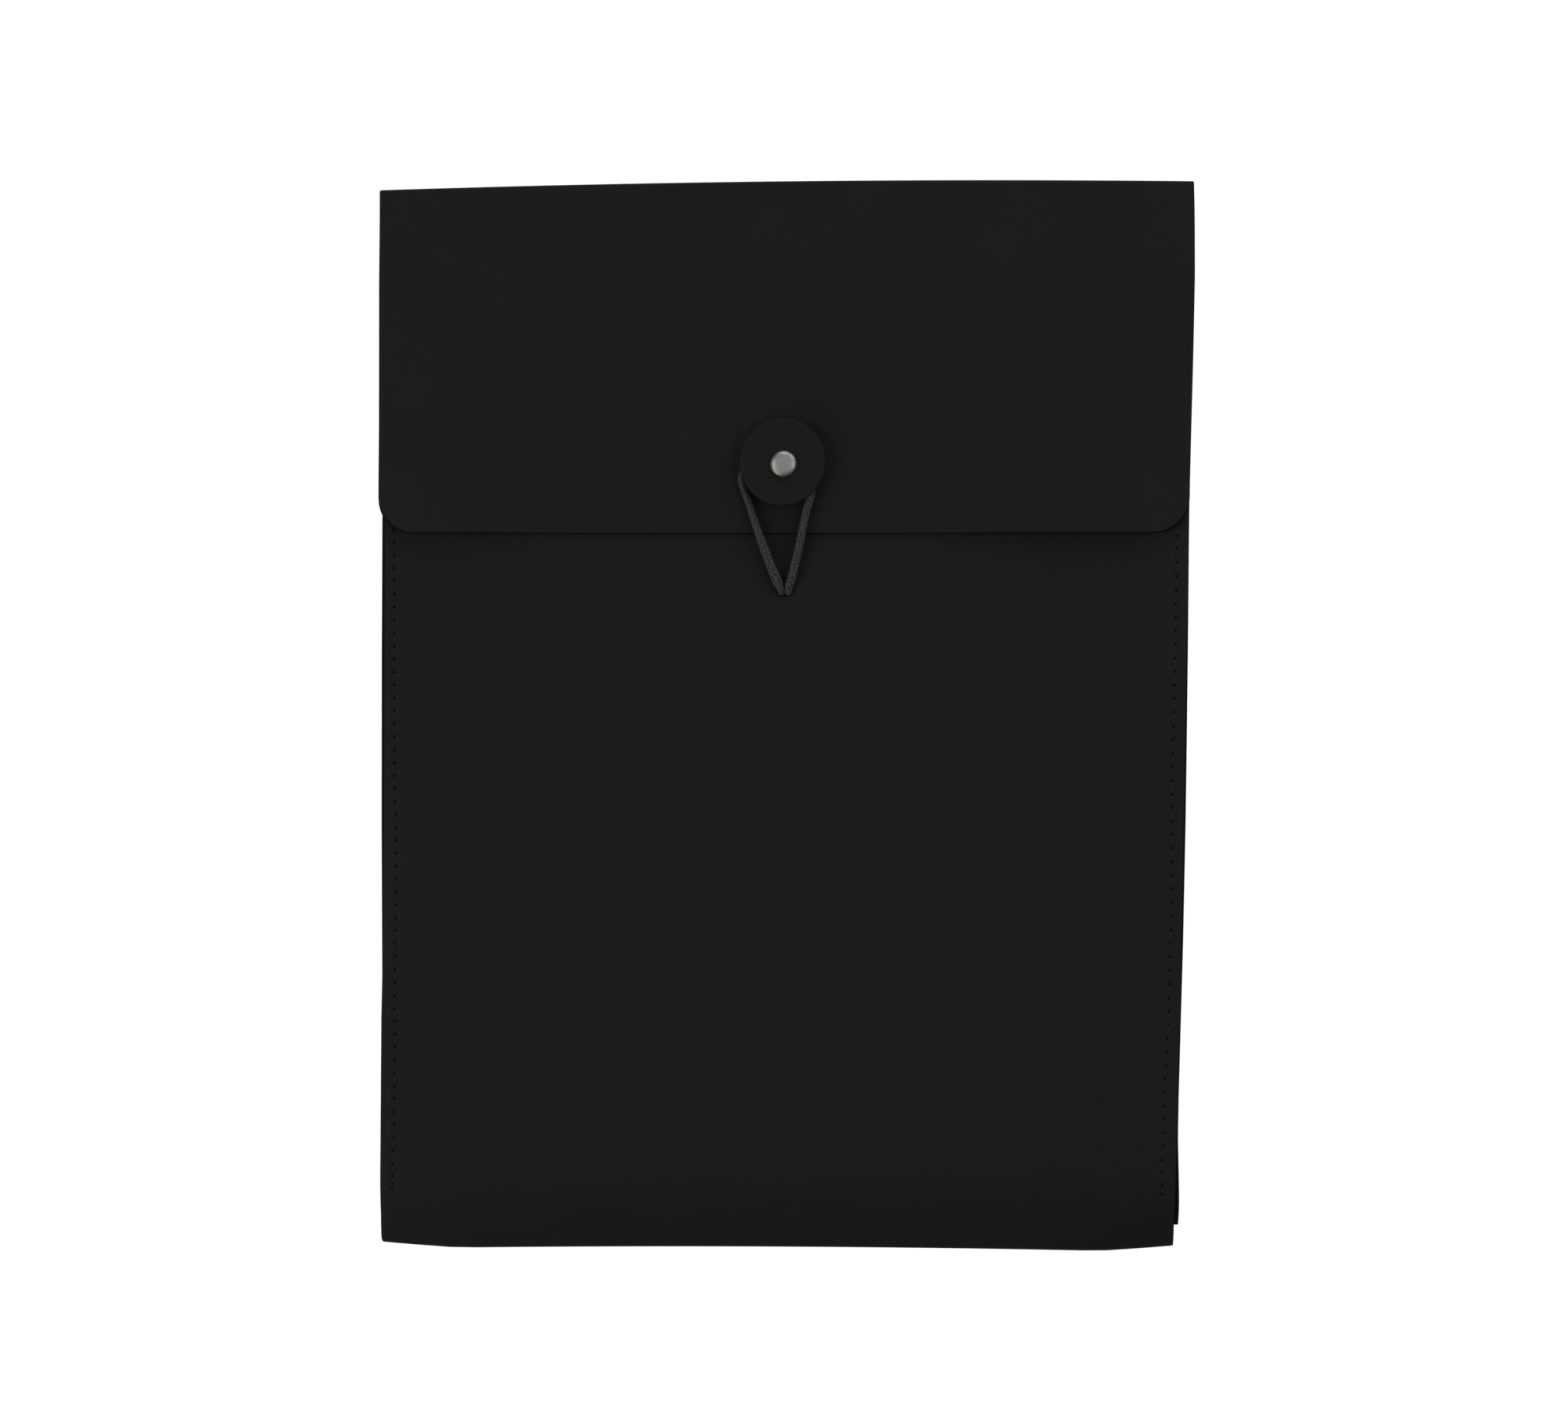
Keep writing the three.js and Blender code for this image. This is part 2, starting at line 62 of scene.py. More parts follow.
Array = np.ndarray
Faces = list[tuple[int, ...]]
Pair = tuple[float, float]
Triple = tuple[float, float, float]
Table = tuple[tuple[float, ...], ...]
Inputs = dict[str | int, object]
Tree = bpy.types.NodeTree
Node = bpy.types.Node
Socket = bpy.types.NodeSocket
Material = bpy.types.Material
Piece = bpy.types.Object


class Side(Enum):
    """A side of the wallet, as seen from the front."""

    LEFT = -1
    RIGHT = 1


class Face(Enum):
    """The face of a sheet, as the index of its material."""

    OUTER = 0
    INNER = 1
    CUT_EDGE = 2


def linear(hex_colour: str) -> tuple[float, float, float, float]:
    """Turns an sRGB hex colour, such as "1c1c1c", to linear.

    Args:
        hex_colour: Its six hex digits.

    Returns:
        The linear red, green and blue, and an alpha of 1.
    """
    parts = [int(hex_colour[i : i + 2], 16) / 255 for i in (0, 2, 4)]
    red, green, blue = (p / 12.92 if p <= 0.04045 else ((p + 0.055) / 1.055) ** 2.4 for p in parts)
    return red, green, blue, 1.0


def ramp(value: Array | float, start: float, end: float) -> Array:
    """A smooth step from 0 at start to 1 at end.

    Args:
        value: Where to read it.
        start: The value at which it leaves 0.
        end: The value at which it reaches 1.

    Returns:
        The step's height at each value.
    """
    share = np.clip((np.asarray(value, float) - start) / (end - start), 0, 1)
    return share * share * (3 - 2 * share)


def hump(value: Array | float, width: float) -> Array:
    """A round hump of height 1 at 0.

    Args:
        value: Distance from the hump's middle.
        width: Distance at which it has fallen to about a third.

    Returns:
        The hump's height at each value.
    """
    return np.exp(-((np.asarray(value, float) / width) ** 2))


def add_node(tree: Tree, kind: str, inputs: Inputs | None = None, **settings: object) -> Node:
    """Adds one shader node with its settings, values and links.

    Args:
        tree: The material's node tree.
        kind: The node's type, without the ShaderNode that leads it.
        inputs: Maps an input's name or number to a value, or to the socket that feeds it.
        **settings: Properties of the node.

    Returns:
        The new node.
    """
    node = tree.nodes.new(f"ShaderNode{kind}")
    for name, value in settings.items():
        setattr(node, name, value)
    for name, value in (inputs or {}).items():
        if isinstance(value, Socket):
            tree.links.new(value, node.inputs[name])
        else:
            node.inputs[name].default_value = value
    return node


def place_on(tree: Tree, **mapping: Triple) -> Socket:
    """Adds the place on the object, in metres.

    Args:
        tree: The material's node tree.
        **mapping: The Scale that stretches it and the Rotation that turns it, if any.

    Returns:
        The socket of the place.
    """
    place = add_node(tree, "TexCoord").outputs["Object"]
    return add_node(tree, "Mapping", {"Vector": place, **mapping}).outputs[0] if mapping else place


@dataclass(frozen=True)
class Finish:
    """A finish: one shader, fed by patterns laid out in real millimetres."""

    name: str

    def inputs(self, tree: Tree) -> Inputs:
        """Adds the finish's own patterns.

        Args:
            tree: The material's node tree.

        Returns:
            The inputs of the shader.
        """
        raise NotImplementedError

    def make(self) -> Material:
        """Makes the material from its patterns and its shader.

        Returns:
            The finished material.
        """
        material = bpy.data.materials.new(self.name)
        material.use_nodes = True
        tree = material.node_tree
        tree.nodes.clear()
        shader = add_node(tree, "BsdfPrincipled", self.inputs(tree))
        add_node(tree, "OutputMaterial", {"Surface": shader.outputs[0]})
        return material


@dataclass(frozen=True)
class EmbossedLeatherette(Finish):
    """Polyurethane-coated cloth, embossed with a fine pebble grain and left matt.

    It gives the eye an almost flat, neutral black with a soft broad sheen and a grain that is
    only seen close up. The real grain is about 0.3 mm, and it is drawn at 0.8 mm to show at all.
    """

    colour: str = "1b1b1b"
    worn_colour: str = "1d1d1d"
    grain_mm: float = 0.8
    grain_depth_mm: float = 0.05
    grain_strength: float = 0.55
    wrinkle_ratio: float = 3.2
    mottle_mm: float = 30.0
    roughness: Pair = (0.57, 0.66)
    specular: float = 0.14

    def inputs(self, tree: Tree) -> Inputs:
        """Adds the grain, the mottling and the scuffed high spots.

        Args:
            tree: The material's node tree.

        Returns:
            The inputs of the shader.
        """
        place = place_on(tree)
        fine, wrinkled = 1 / (self.grain_mm * MM), 1 / (self.wrinkle_ratio * self.grain_mm * MM)
        grain = add_node(tree, "TexVoronoi", {"Vector": place, "Scale": fine}, feature="F1")
        wrinkle = add_node(tree, "TexNoise", {"Vector": place, "Scale": wrinkled, "Detail": 3.0})
        worn = {"Scale": 1 / (self.mottle_mm * MM), "Detail": 2.0, "Roughness": 0.45}
        mottle = add_node(tree, "TexNoise", {"Vector": place, **worn})
        both = {0: grain.outputs["Distance"], 1: wrinkle.outputs["Fac"]}
        height = add_node(tree, "Math", both, operation="ADD").outputs[0]
        depth = {"Distance": self.grain_depth_mm * MM, "Strength": self.grain_strength}
        bump = add_node(tree, "Bump", {"Height": height, **depth})
        middle = {"From Min": 0.3, "From Max": 0.7}
        shade = add_node(tree, "MapRange", {"Value": mottle.outputs["Fac"], **middle}).outputs[0]
        tones = {"Factor": shade, 6: linear(self.colour), 7: linear(self.worn_colour)}
        limits = {"To Min": self.roughness[0], "To Max": self.roughness[1]}
        gloss = add_node(tree, "MapRange", {"Value": wrinkle.outputs["Fac"], **middle, **limits})
        return {
            "Base Color": add_node(tree, "Mix", tones, data_type="RGBA").outputs[2],
            "Roughness": gloss.outputs[0],
            "Normal": bump.outputs[0],
            "Specular IOR Level": self.specular,
            "IOR": 1.5,
        }


@dataclass(frozen=True)
class StreakedFinish(Finish):
    """A dull finish with one stretched or slanting pattern in both its colour and its relief."""

    colour: str
    pale_colour: str
    pattern_mm: float
    stretch: Triple
    turn: float
    relief_mm: float
    strength: float
    roughness: float
    specular: float
    detail: float = 3.0
    sheen: Pair = (0.0, 0.5)

    def pattern(self, tree: Tree, place: Socket) -> Socket:
        """Adds the pattern.

        Args:
            tree: The material's node tree.
            place: The stretched and turned place on the object.

        Returns:
            The pattern's height.
        """
        look = {"Scale": 1 / (self.pattern_mm * MM), "Detail": self.detail}
        return add_node(tree, "TexNoise", {"Vector": place, **look}).outputs["Fac"]

    def inputs(self, tree: Tree) -> Inputs:
        """Adds the pattern, and lets it set colour and relief.

        Args:
            tree: The material's node tree.

        Returns:
            The inputs of the shader.
        """
        fac = self.pattern(tree, place_on(tree, Scale=self.stretch, Rotation=(0, 0, self.turn)))
        relief = {"Height": fac, "Distance": self.relief_mm * MM, "Strength": self.strength}
        tones = {"Factor": fac, 6: linear(self.colour), 7: linear(self.pale_colour)}
        return {
            "Base Color": add_node(tree, "Mix", tones, data_type="RGBA").outputs[2],
            "Normal": add_node(tree, "Bump", relief).outputs[0],
            "Roughness": self.roughness,
            "Specular IOR Level": self.specular,
            "Sheen Weight": self.sheen[0],
            "Sheen Roughness": self.sheen[1],
        }


@dataclass(frozen=True)
class BrushedBacking(StreakedFinish):
    """The brushed nonwoven back of the leatherette, which faces the papers.

    It gives the eye a dull, dusty black with short fibres and no gloss. The real fibres are
    about 0.1 mm wide, and they are drawn at 0.5 mm to show at all.
    """

    name: str = "backing_brushed_nonwoven"
    colour: str = "131313"
    pale_colour: str = "202020"
    pattern_mm: float = 0.5
    stretch: Triple = (1.0, 0.22, 1.0)
    turn: float = 0.5
    relief_mm: float = 0.06
    strength: float = 0.8
    roughness: float = 0.9
    specular: float = 0.15
    detail: float = 4.0
    sheen: Pair = (0.05, 0.6)


@dataclass(frozen=True)
class CutEdge(StreakedFinish):
    """The knife-cut edge of the sheet, where coating and backing show as thin layers.

    It gives the eye a line a little paler than the face, since the fibres scatter light. Made
    near black, as on the flap, it is a line darker than the face: a painted shadow, for the contact
    shadow along the flap's edge.
    """

    name: str = "cut_edge_knife_cut"
    colour: str = "181818"
    pale_colour: str = "262626"
    pattern_mm: float = 0.3
    stretch: Triple = (0.3, 0.3, 1.0)
    turn: float = 0.0
    relief_mm: float = 0.08
    strength: float = 0.9
    roughness: float = 0.8
    specular: float = 0.12


@dataclass(frozen=True)
class WaxedThread(StreakedFinish):
    """Bonded polyester sewing thread, two plies twisted and waxed.

    It gives the eye thin slanting bands, a little glossier than the leatherette round it.
    """

    name: str = "thread_bonded_polyester"
    colour: str = "161616"
    pale_colour: str = "1c1c1c"
    pattern_mm: float = 0.9
    stretch: Triple = (1.0, 1.0, 1.0)
    turn: float = 0.6
    relief_mm: float = 0.05
    strength: float = 0.7
    roughness: float = 0.55
    specular: float = 0.2
    detail: float = 1.0

    def pattern(self, tree: Tree, place: Socket) -> Socket:
        """Adds the twisted plies.

        Args:
            tree: The material's node tree.
            place: The turned place on the object.

        Returns:
            The plies' height.
        """
        look = {"Scale": 0.314 / (self.pattern_mm * MM), "Distortion": 0.6, "Detail": self.detail}
        return add_node(tree, "TexWave", {"Vector": place, **look}, bands_direction="Y").outputs["Fac"]


@dataclass(frozen=True)
class BraidedElastic(Finish):
    """A round rubber core in a braided polyester sleeve, dyed dark grey.

    It gives the eye pale raised strands, much lighter than the leatherette. The strands are in the
    mesh, and the mesh's relief sets their colour: the gaps between the strands are painted near
    black, a painted shade for the shadow that falls there.
    """

    name: str = "elastic_braided_polyester"
    gap_painted_shade: str = "0a0a0a"
    strand_colour: str = "636363"
    yarn_mm: float = 0.35
    yarn_depth_mm: float = 0.05
    shade_span: Pair = (0.16, 0.66)

    def inputs(self, tree: Tree) -> Inputs:
        """Adds the relief of the strands and the yarns within them, and the painted shade in the gaps.

        Args:
            tree: The material's node tree.

        Returns:
            The inputs of the shader.
        """
        relief = add_node(tree, "Attribute", attribute_name=BRAID_RELIEF).outputs["Fac"]
        weave = {"Vector": place_on(tree), "Scale": 1 / (self.yarn_mm * MM), "Detail": 2.0}
        yarns = add_node(tree, "TexNoise", weave).outputs["Fac"]
        # Painted shade: where the relief is low, in the gaps between the strands, the colour goes near
        # black.
        lit = add_node(tree, "Math", {0: relief, 1: yarns, 2: 0.02}, operation="MULTIPLY_ADD")
        span = {"From Min": self.shade_span[0], "From Max": self.shade_span[1]}
        shade = add_node(tree, "MapRange", {"Value": lit.outputs[0], **span}).outputs[0]
        tones = {"Factor": shade, 6: linear(self.gap_painted_shade), 7: linear(self.strand_colour)}
        depth = {"Distance": self.yarn_depth_mm * MM, "Strength": 0.6}
        return {
            "Base Color": add_node(tree, "Mix", tones, data_type="RGBA").outputs[2],
            "Normal": add_node(tree, "Bump", {"Height": yarns, **depth}).outputs[0],
            "Roughness": 0.7,
            "Specular IOR Level": 0.3,
            "Sheen Weight": 0.12,
            "Sheen Roughness": 0.5,
        }


@dataclass(frozen=True)
class SatinNickel(Finish):
    """Drawn steel with a nickel plate, dulled by fine handling marks.

    It gives the eye a small bright dome with one soft highlight, which mirrors nothing sharply.
    """

    name: str = "rivet_satin_nickel"
    colour: str = "aeaca8"
    roughness: Pair = (0.46, 0.58)
    coat: Pair = (0.5, 0.12)
    mark_mm: float = 0.6

    def inputs(self, tree: Tree) -> Inputs:
        """Adds the fine handling marks.

        Args:
            tree: The material's node tree.

        Returns:
            The inputs of the shader.
        """
        look = {"Scale": 1 / (self.mark_mm * MM), "Detail": 4.0}
        drawn = {"Vector": place_on(tree, Scale=(1.0, 0.15, 1.0)), **look}
        marks = add_node(tree, "TexNoise", drawn).outputs["Fac"]
        limits = {"To Min": self.roughness[0], "To Max": self.roughness[1]}
        spread = {"Value": marks, "From Min": 0.35, "From Max": 0.7, **limits}
        return {
            "Base Color": linear(self.colour),
            "Metallic": 1.0,
            "Roughness": add_node(tree, "MapRange", spread).outputs[0],
            "Coat Weight": self.coat[0],
            "Coat Roughness": self.coat[1],
        }


@dataclass(frozen=True)
class WhiteLaminate(Finish):
    """The table's matt white laminate.

    It gives the eye a plain white ground. It glows for the camera alone, so that it stays white
    in the picture without lighting the wallet from below.
    """

    name: str = "table_white_laminate"
    colour: str = "b4b4b4"
    glow: float = 1.9

    def inputs(self, tree: Tree) -> Inputs:
        """Adds the glow.

        Args:
            tree: The material's node tree.

        Returns:
            The inputs of the shader.
        """
        seen = add_node(tree, "LightPath").outputs["Is Camera Ray"]
        glow = add_node(tree, "Math", {0: seen, 1: self.glow}, operation="MULTIPLY")
        return {
            "Base Color": linear(self.colour),
            "Roughness": 0.9,
            "Specular IOR Level": 0.1,
            "Emission Color": linear(self.colour),
            "Emission Strength": glow.outputs[0],
        }


class Workshop:
    """The wallet's finishes, each made once."""

    def __init__(self) -> None:
        """Makes every finish."""
        self.face = EmbossedLeatherette("leatherette_embossed_matt").make()
        # Painted shade: the gusset is the face's leatherette made darker (0e0e0e, 121212), for the shadow
        # it lies in between front and back.
        self.gusset = EmbossedLeatherette(
            "gusset_leatherette_painted_shade", "0e0e0e", "121212", grain_mm=0.7, specular=0.08
        ).make()
        self.backing = BrushedBacking().make()
        self.edge = CutEdge().make()
        # Painted shadow: the flap's cut edge is made near black to stand for the contact shadow along its
        # edge and round corners.
        self.shadow_black_edge = CutEdge("cut_edge_painted_shadow", "0a0a0a", "101010").make()
        self.thread = WaxedThread().make()
        self.elastic = BraidedElastic().make()
        self.nickel = SatinNickel().make()


@dataclass(frozen=True)
class LieOnTable:
    """How far the wallet in the photo lies out of square: a millimetre or two at its corners.

    across and along hold the terms of two small polynomials in the place across and up the
    wallet, each from -1 to 1. The top fold bows up a little more, most at bow_peak. top_slope, a
    rise of the whole top fold towards the right, is not used.
    """

    half_width: float = 120.5
    half_height: float = 160.0
    across: tuple[float, float, float, float] = (0.6246, -0.4885, -0.129, 0.4272)
    along: tuple[float, float, float, float] = (0.586, 0.1106, 1.0848, -1.0816)
    top_bow: float = 0.32
    bow_peak: float = 0.25
    bow_fall: float = 1.08
    top_slope: float = 0.01527

    def laid(self, points: Array) -> Array:
        """Moves points drawn square to where they lie.

        Args:
            points: Points in millimetres, with the coordinates in the last axis.

        Returns:
            The points moved within the plane of the table.
        """
        points = np.array(points, float)
        u, v = points[..., 0] / self.half_width, points[..., 1] / self.half_height
        a, b = self.across, self.along
        points[..., 0] += a[0] * u * v + a[1] * v * v + a[2] * u * v * v + a[3] * v
        points[..., 1] += b[0] * u * v + b[1] * u * u * v + b[2] * u + b[3] * u * u
        bow = 1 - self.bow_fall * (u - self.bow_peak) ** 2
        points[..., 1] += self.top_bow * bow * ramp(v, 0.7, 1.0)
        return points


LIE = LieOnTable()


@dataclass
class MeshPlan:
    """The points and faces of one piece, before Blender makes it."""

    points: Array
    faces: Faces
    face_materials: list[int] = field(default_factory=list)
    relief: Array | None = None

    def joined(self, others: Iterable["MeshPlan"]) -> "MeshPlan":
        """Joins this plan with others into one.

        Args:
            others: The plans to add, of one material, with a relief if this one has it.

        Returns:
            One plan with all the points and faces.
        """
        plans = [self, *others]
        starts = np.cumsum([0] + [len(p.points) for p in plans])
        faces = [tuple(i + s for i in face) for s, plan in zip(starts, plans) for face in plan.faces]
        relief = None if self.relief is None else np.concatenate([p.relief for p in plans])
        return MeshPlan(np.concatenate([p.points for p in plans]), faces, [], relief)

    def made(self, name: str, materials: Sequence[Material], sharp_degrees: float = 55.0) -> Piece:
        """Makes the Blender object, in metres, laid as the wallet in the photo lies.

        Args:
            name: The piece's name.
            materials: The materials, in the order of their indices.
            sharp_degrees: Edges that turn by more than this are shaded as sharp.

        Returns:
            The new object, linked to the scene.
        """
        mesh = bpy.data.meshes.new(name)
        mesh.from_pydata((LIE.laid(self.points) * MM).tolist(), [], self.faces)
        for material in materials:
            mesh.materials.append(material)
        if self.face_materials:
            mesh.polygons.foreach_set("material_index", self.face_materials)
        if self.relief is not None:
            layer = mesh.attributes.new(BRAID_RELIEF, "FLOAT", "POINT")
            layer.data.foreach_set("value", self.relief.astype(np.float32))
        work = bmesh.new()
        work.from_mesh(mesh)
        bmesh.ops.recalc_face_normals(work, faces=work.faces)
        work.to_mesh(mesh)
        work.free()
        mesh.shade_smooth()
        mesh.set_sharp_from_angle(angle=math.radians(sharp_degrees))
        piece = bpy.data.objects.new(name, mesh)
        bpy.context.scene.collection.objects.link(piece)
        return piece


def grid_faces(rows: int, columns: int, start: int = 0) -> Faces:
    """The quads of a grid whose points are stored row by row.

    Args:
        rows: How many rows of points.
        columns: How many points in a row.
        start: Index of the grid's first point.

    Returns:
        The quads.
    """
    index = np.arange(rows * columns).reshape(rows, columns) + start
    quads = np.stack([index[:-1, :-1], index[:-1, 1:], index[1:, 1:], index[1:, :-1]], axis=-1)
    return [tuple(q) for q in quads.reshape(-1, 4).tolist()]


def skin(rings: Sequence[Sequence[int]]) -> Faces:
    """The faces that join closed rings of points, each ring to the next.

    Args:
        rings: The indices of each ring's points. One index repeated all round is a tip.

    Returns:
        The faces, ring by ring.
    """
    faces: Faces = []
    for first, second in zip(rings, rings[1:]):
        for i in range(len(first)):
            k = (i + 1) % len(first)
            faces.append(tuple(dict.fromkeys((first[i], second[i], second[k], first[k]))))
    return faces


def closed_sheet(
    outer: Array, inner: Array, chamfer: float, butt_rows: tuple[bool, bool] = (False, False)
) -> MeshPlan:
    """Closes two grids of points into one sheet with softened cut edges.

    Args:
        outer: The outer face, as rows by columns by 3.
        inner: The inner face, of the same shape.
        chamfer: Width of the softened corner of each cut edge.
        butt_rows: Whether the first and the last row meet another piece and stay square.

    Returns:
        The plan of the closed sheet, with its faces sorted by material.
    """
    rows, columns = outer.shape[:2]
    loop = [(0, c) for c in range(columns)] + [(r, columns - 1) for r in range(1, rows)]
    loop += [(rows - 1, c) for c in range(columns - 2, -1, -1)]
    loop += [(r, 0) for r in range(rows - 2, 0, -1)]
    at = tuple(np.array(loop).T)
    rim, back = outer[at], inner[at]
    through = (rim - back) / np.linalg.norm(rim - back, axis=1)[:, None]
    inward = np.cross(through, np.roll(rim, -1, axis=0) - np.roll(rim, 1, axis=0))
    inward /= np.maximum(np.linalg.norm(inward, axis=1)[:, None], 1e-9)
    middle = columns // 2
    if inward[middle] @ (outer[1, middle] - outer[0, middle]) < 0:
        inward = -inward
    for i, (r, c) in enumerate(loop):
        if (r == 0 and butt_rows[0]) or (r == rows - 1 and butt_rows[1]):
            inward[i] = 0
            if c in (0, columns - 1):
                step = outer[r, 1 if c == 0 else columns - 2] - outer[r, c]
                inward[i] = step / np.linalg.norm(step)
    outer, inner = outer.copy(), inner.copy()
    outer[at] = rim + chamfer * inward
    inner[at] = back + chamfer * inward
    depth = chamfer * through
    points = np.concatenate([outer.reshape(-1, 3), inner.reshape(-1, 3), rim - depth, back + depth])
    count, size = len(loop), rows * columns
    top = [r * columns + c for r, c in loop]
    below = list(range(2 * size, 2 * size + count))
    edge = skin([top, below, [i + count for i in below], [i + size for i in top]])
    faces = grid_faces(rows, columns), grid_faces(rows, columns, size), edge
    kinds = [kind.value for kind, part in zip(Face, faces) for _ in part]
    return MeshPlan(points, sum(faces, []), kinds)


def turned(profile: Sequence[Pair], centre: Pair, sides: int) -> MeshPlan:
    """A piece turned about a vertical axis.

    Args:
        profile: Radius and height of each point. It starts and ends on the axis, or is closed.
        centre: Place of the axis.
        sides: Facets round the axis.

    Returns:
        The plan of the turned piece.
    """
    angles = np.linspace(0, 2 * math.pi, sides, endpoint=False)
    points: list[Triple] = []
    rings: list[list[int]] = []
    for radius, height in profile:
        first = len(points)
        turn = angles if radius else angles[:1]
        for a in turn:
            points.append((centre[0] + radius * math.cos(a), centre[1] + radius * math.sin(a), height))
        rings.append(list(range(first, first + sides)) if radius else [first] * sides)
    closing = [rings[0]] if profile[0][0] else []
    return MeshPlan(np.array(points), skin([*rings, *closing]))


def frames_along(path: Array) -> tuple[Array, Array]:
    """Two directions square to a path at each of its points, which turn as little as they can.

    Args:
        path: The points of the path.

    Returns:
        The first and the second direction at each point.
    """
    ahead = np.gradient(path, axis=0)
    ahead /= np.linalg.norm(ahead, axis=1)[:, None]
    side = np.cross(ahead[0], (0.0, 0.0, 1.0) if abs(ahead[0, 2]) < 0.9 else (1.0, 0.0, 0.0))
    sides = []
    for direction in ahead:
        side = side - (side @ direction) * direction
        side = side / np.linalg.norm(side)
        sides.append(side)
    first = np.array(sides)
    return first, np.cross(ahead, first)


def tube(path: Array, radii: Array, relief: Array) -> MeshPlan:
    """A closed tube along a path with flat ends.

    Args:
        path: The points of its middle line.
        radii: The radius at each point of the path and each place round it.
        relief: The relief attribute, of the same shape as radii.

    Returns:
        The plan of the tube.
    """
    count, sides = radii.shape
    first, second = (direction[:, None, :] for direction in frames_along(path))
    angles = np.linspace(0, 2 * math.pi, sides, endpoint=False)[None, :, None]
    out = np.cos(angles) * first + np.sin(angles) * second
    rings = path[:, None, :] + out * radii[:, :, None]
    points = np.concatenate([rings.reshape(-1, 3), path[:1], path[-1:]])
    index = np.arange(count * sides).reshape(count, sides).tolist()
    faces = skin([[count * sides] * sides, *index, [count * sides + 1] * sides])
    return MeshPlan(points, faces, [], np.concatenate([relief.ravel(), [0.3, 0.3]]))


def smooth_path(knots: Sequence[Sequence[float]], step: float) -> Array:
    """A smooth path through points, with points evenly spaced along it.

    Args:
        knots: The points to pass through.
        step: Distance between the path's own points.

    Returns:
        The path's points.
    """
    p = np.array(knots, float)
    p = np.concatenate([[2 * p[0] - p[1]], p, [2 * p[-1] - p[-2]]])
    parts = []
    for i in range(1, len(p) - 2):
        gaps = [max(np.linalg.norm(p[i + k] - p[i + k - 1]), 1e-6) ** 0.5 for k in (0, 1, 2)]
        times = 0.0, gaps[0], gaps[0] + gaps[1], sum(gaps)
        t = np.linspace(times[1], times[2], 24, endpoint=False)[:, None]
        level = list(p[i - 1 : i + 3])
        for spans in (((0, 1), (1, 2), (2, 3)), ((0, 2), (1, 3)), ((1, 2),)):
            ends = [(times[low], times[high]) for low, high in spans]
            level = [
                (high - t) / (high - low) * a + (t - low) / (high - low) * b
                for (low, high), a, b in zip(ends, level, level[1:])
            ]
        parts.append(level[0])
    line = np.concatenate([*parts, p[-2:-1]])
    reach = np.concatenate([[0], np.cumsum(np.linalg.norm(np.diff(line, axis=0), axis=1))])
    wanted = np.linspace(0, reach[-1], max(2, round(reach[-1] / step) + 1))
    return np.stack([np.interp(wanted, reach, line[:, k]) for k in range(3)], axis=1)


def spread_out(values: Iterable[float], least: float) -> Array:
    """Sorts values and drops those nearer than least to the one kept before them.

    Args:
        values: The values.
        least: The smallest step to keep.

    Returns:
        The values that are left.
    """
    ordered = sorted(values)
    kept = [ordered[0]]
    for value in ordered[1:-1]:
        if value - kept[-1] >= least and ordered[-1] - value >= least:
            kept.append(value)
    return np.array([*kept, ordered[-1]])


def sides_moved(columns: Array, known: Sequence[float], real: dict[Side, Sequence[float]]) -> Array:
    """Moves columns outward or inward, on each side by its own measure.

    Args:
        columns: Distances from the middle line, negative on the left.
        known: Distances whose real place is known.
        real: Their real distances on each side.

    Returns:
        The moved columns.
    """
    moved = columns.copy()
    for side in Side:
        on = columns * side.value > 0
        moved[on] = side.value * np.interp(np.abs(columns[on]), known, real[side])
    return moved


def level_rows(x: Array, y: float, z: Array | float) -> Array:
    """The points of one row across the wallet."""
    return np.stack([x, np.full_like(x, y), np.broadcast_to(z, x.shape)], axis=-1)


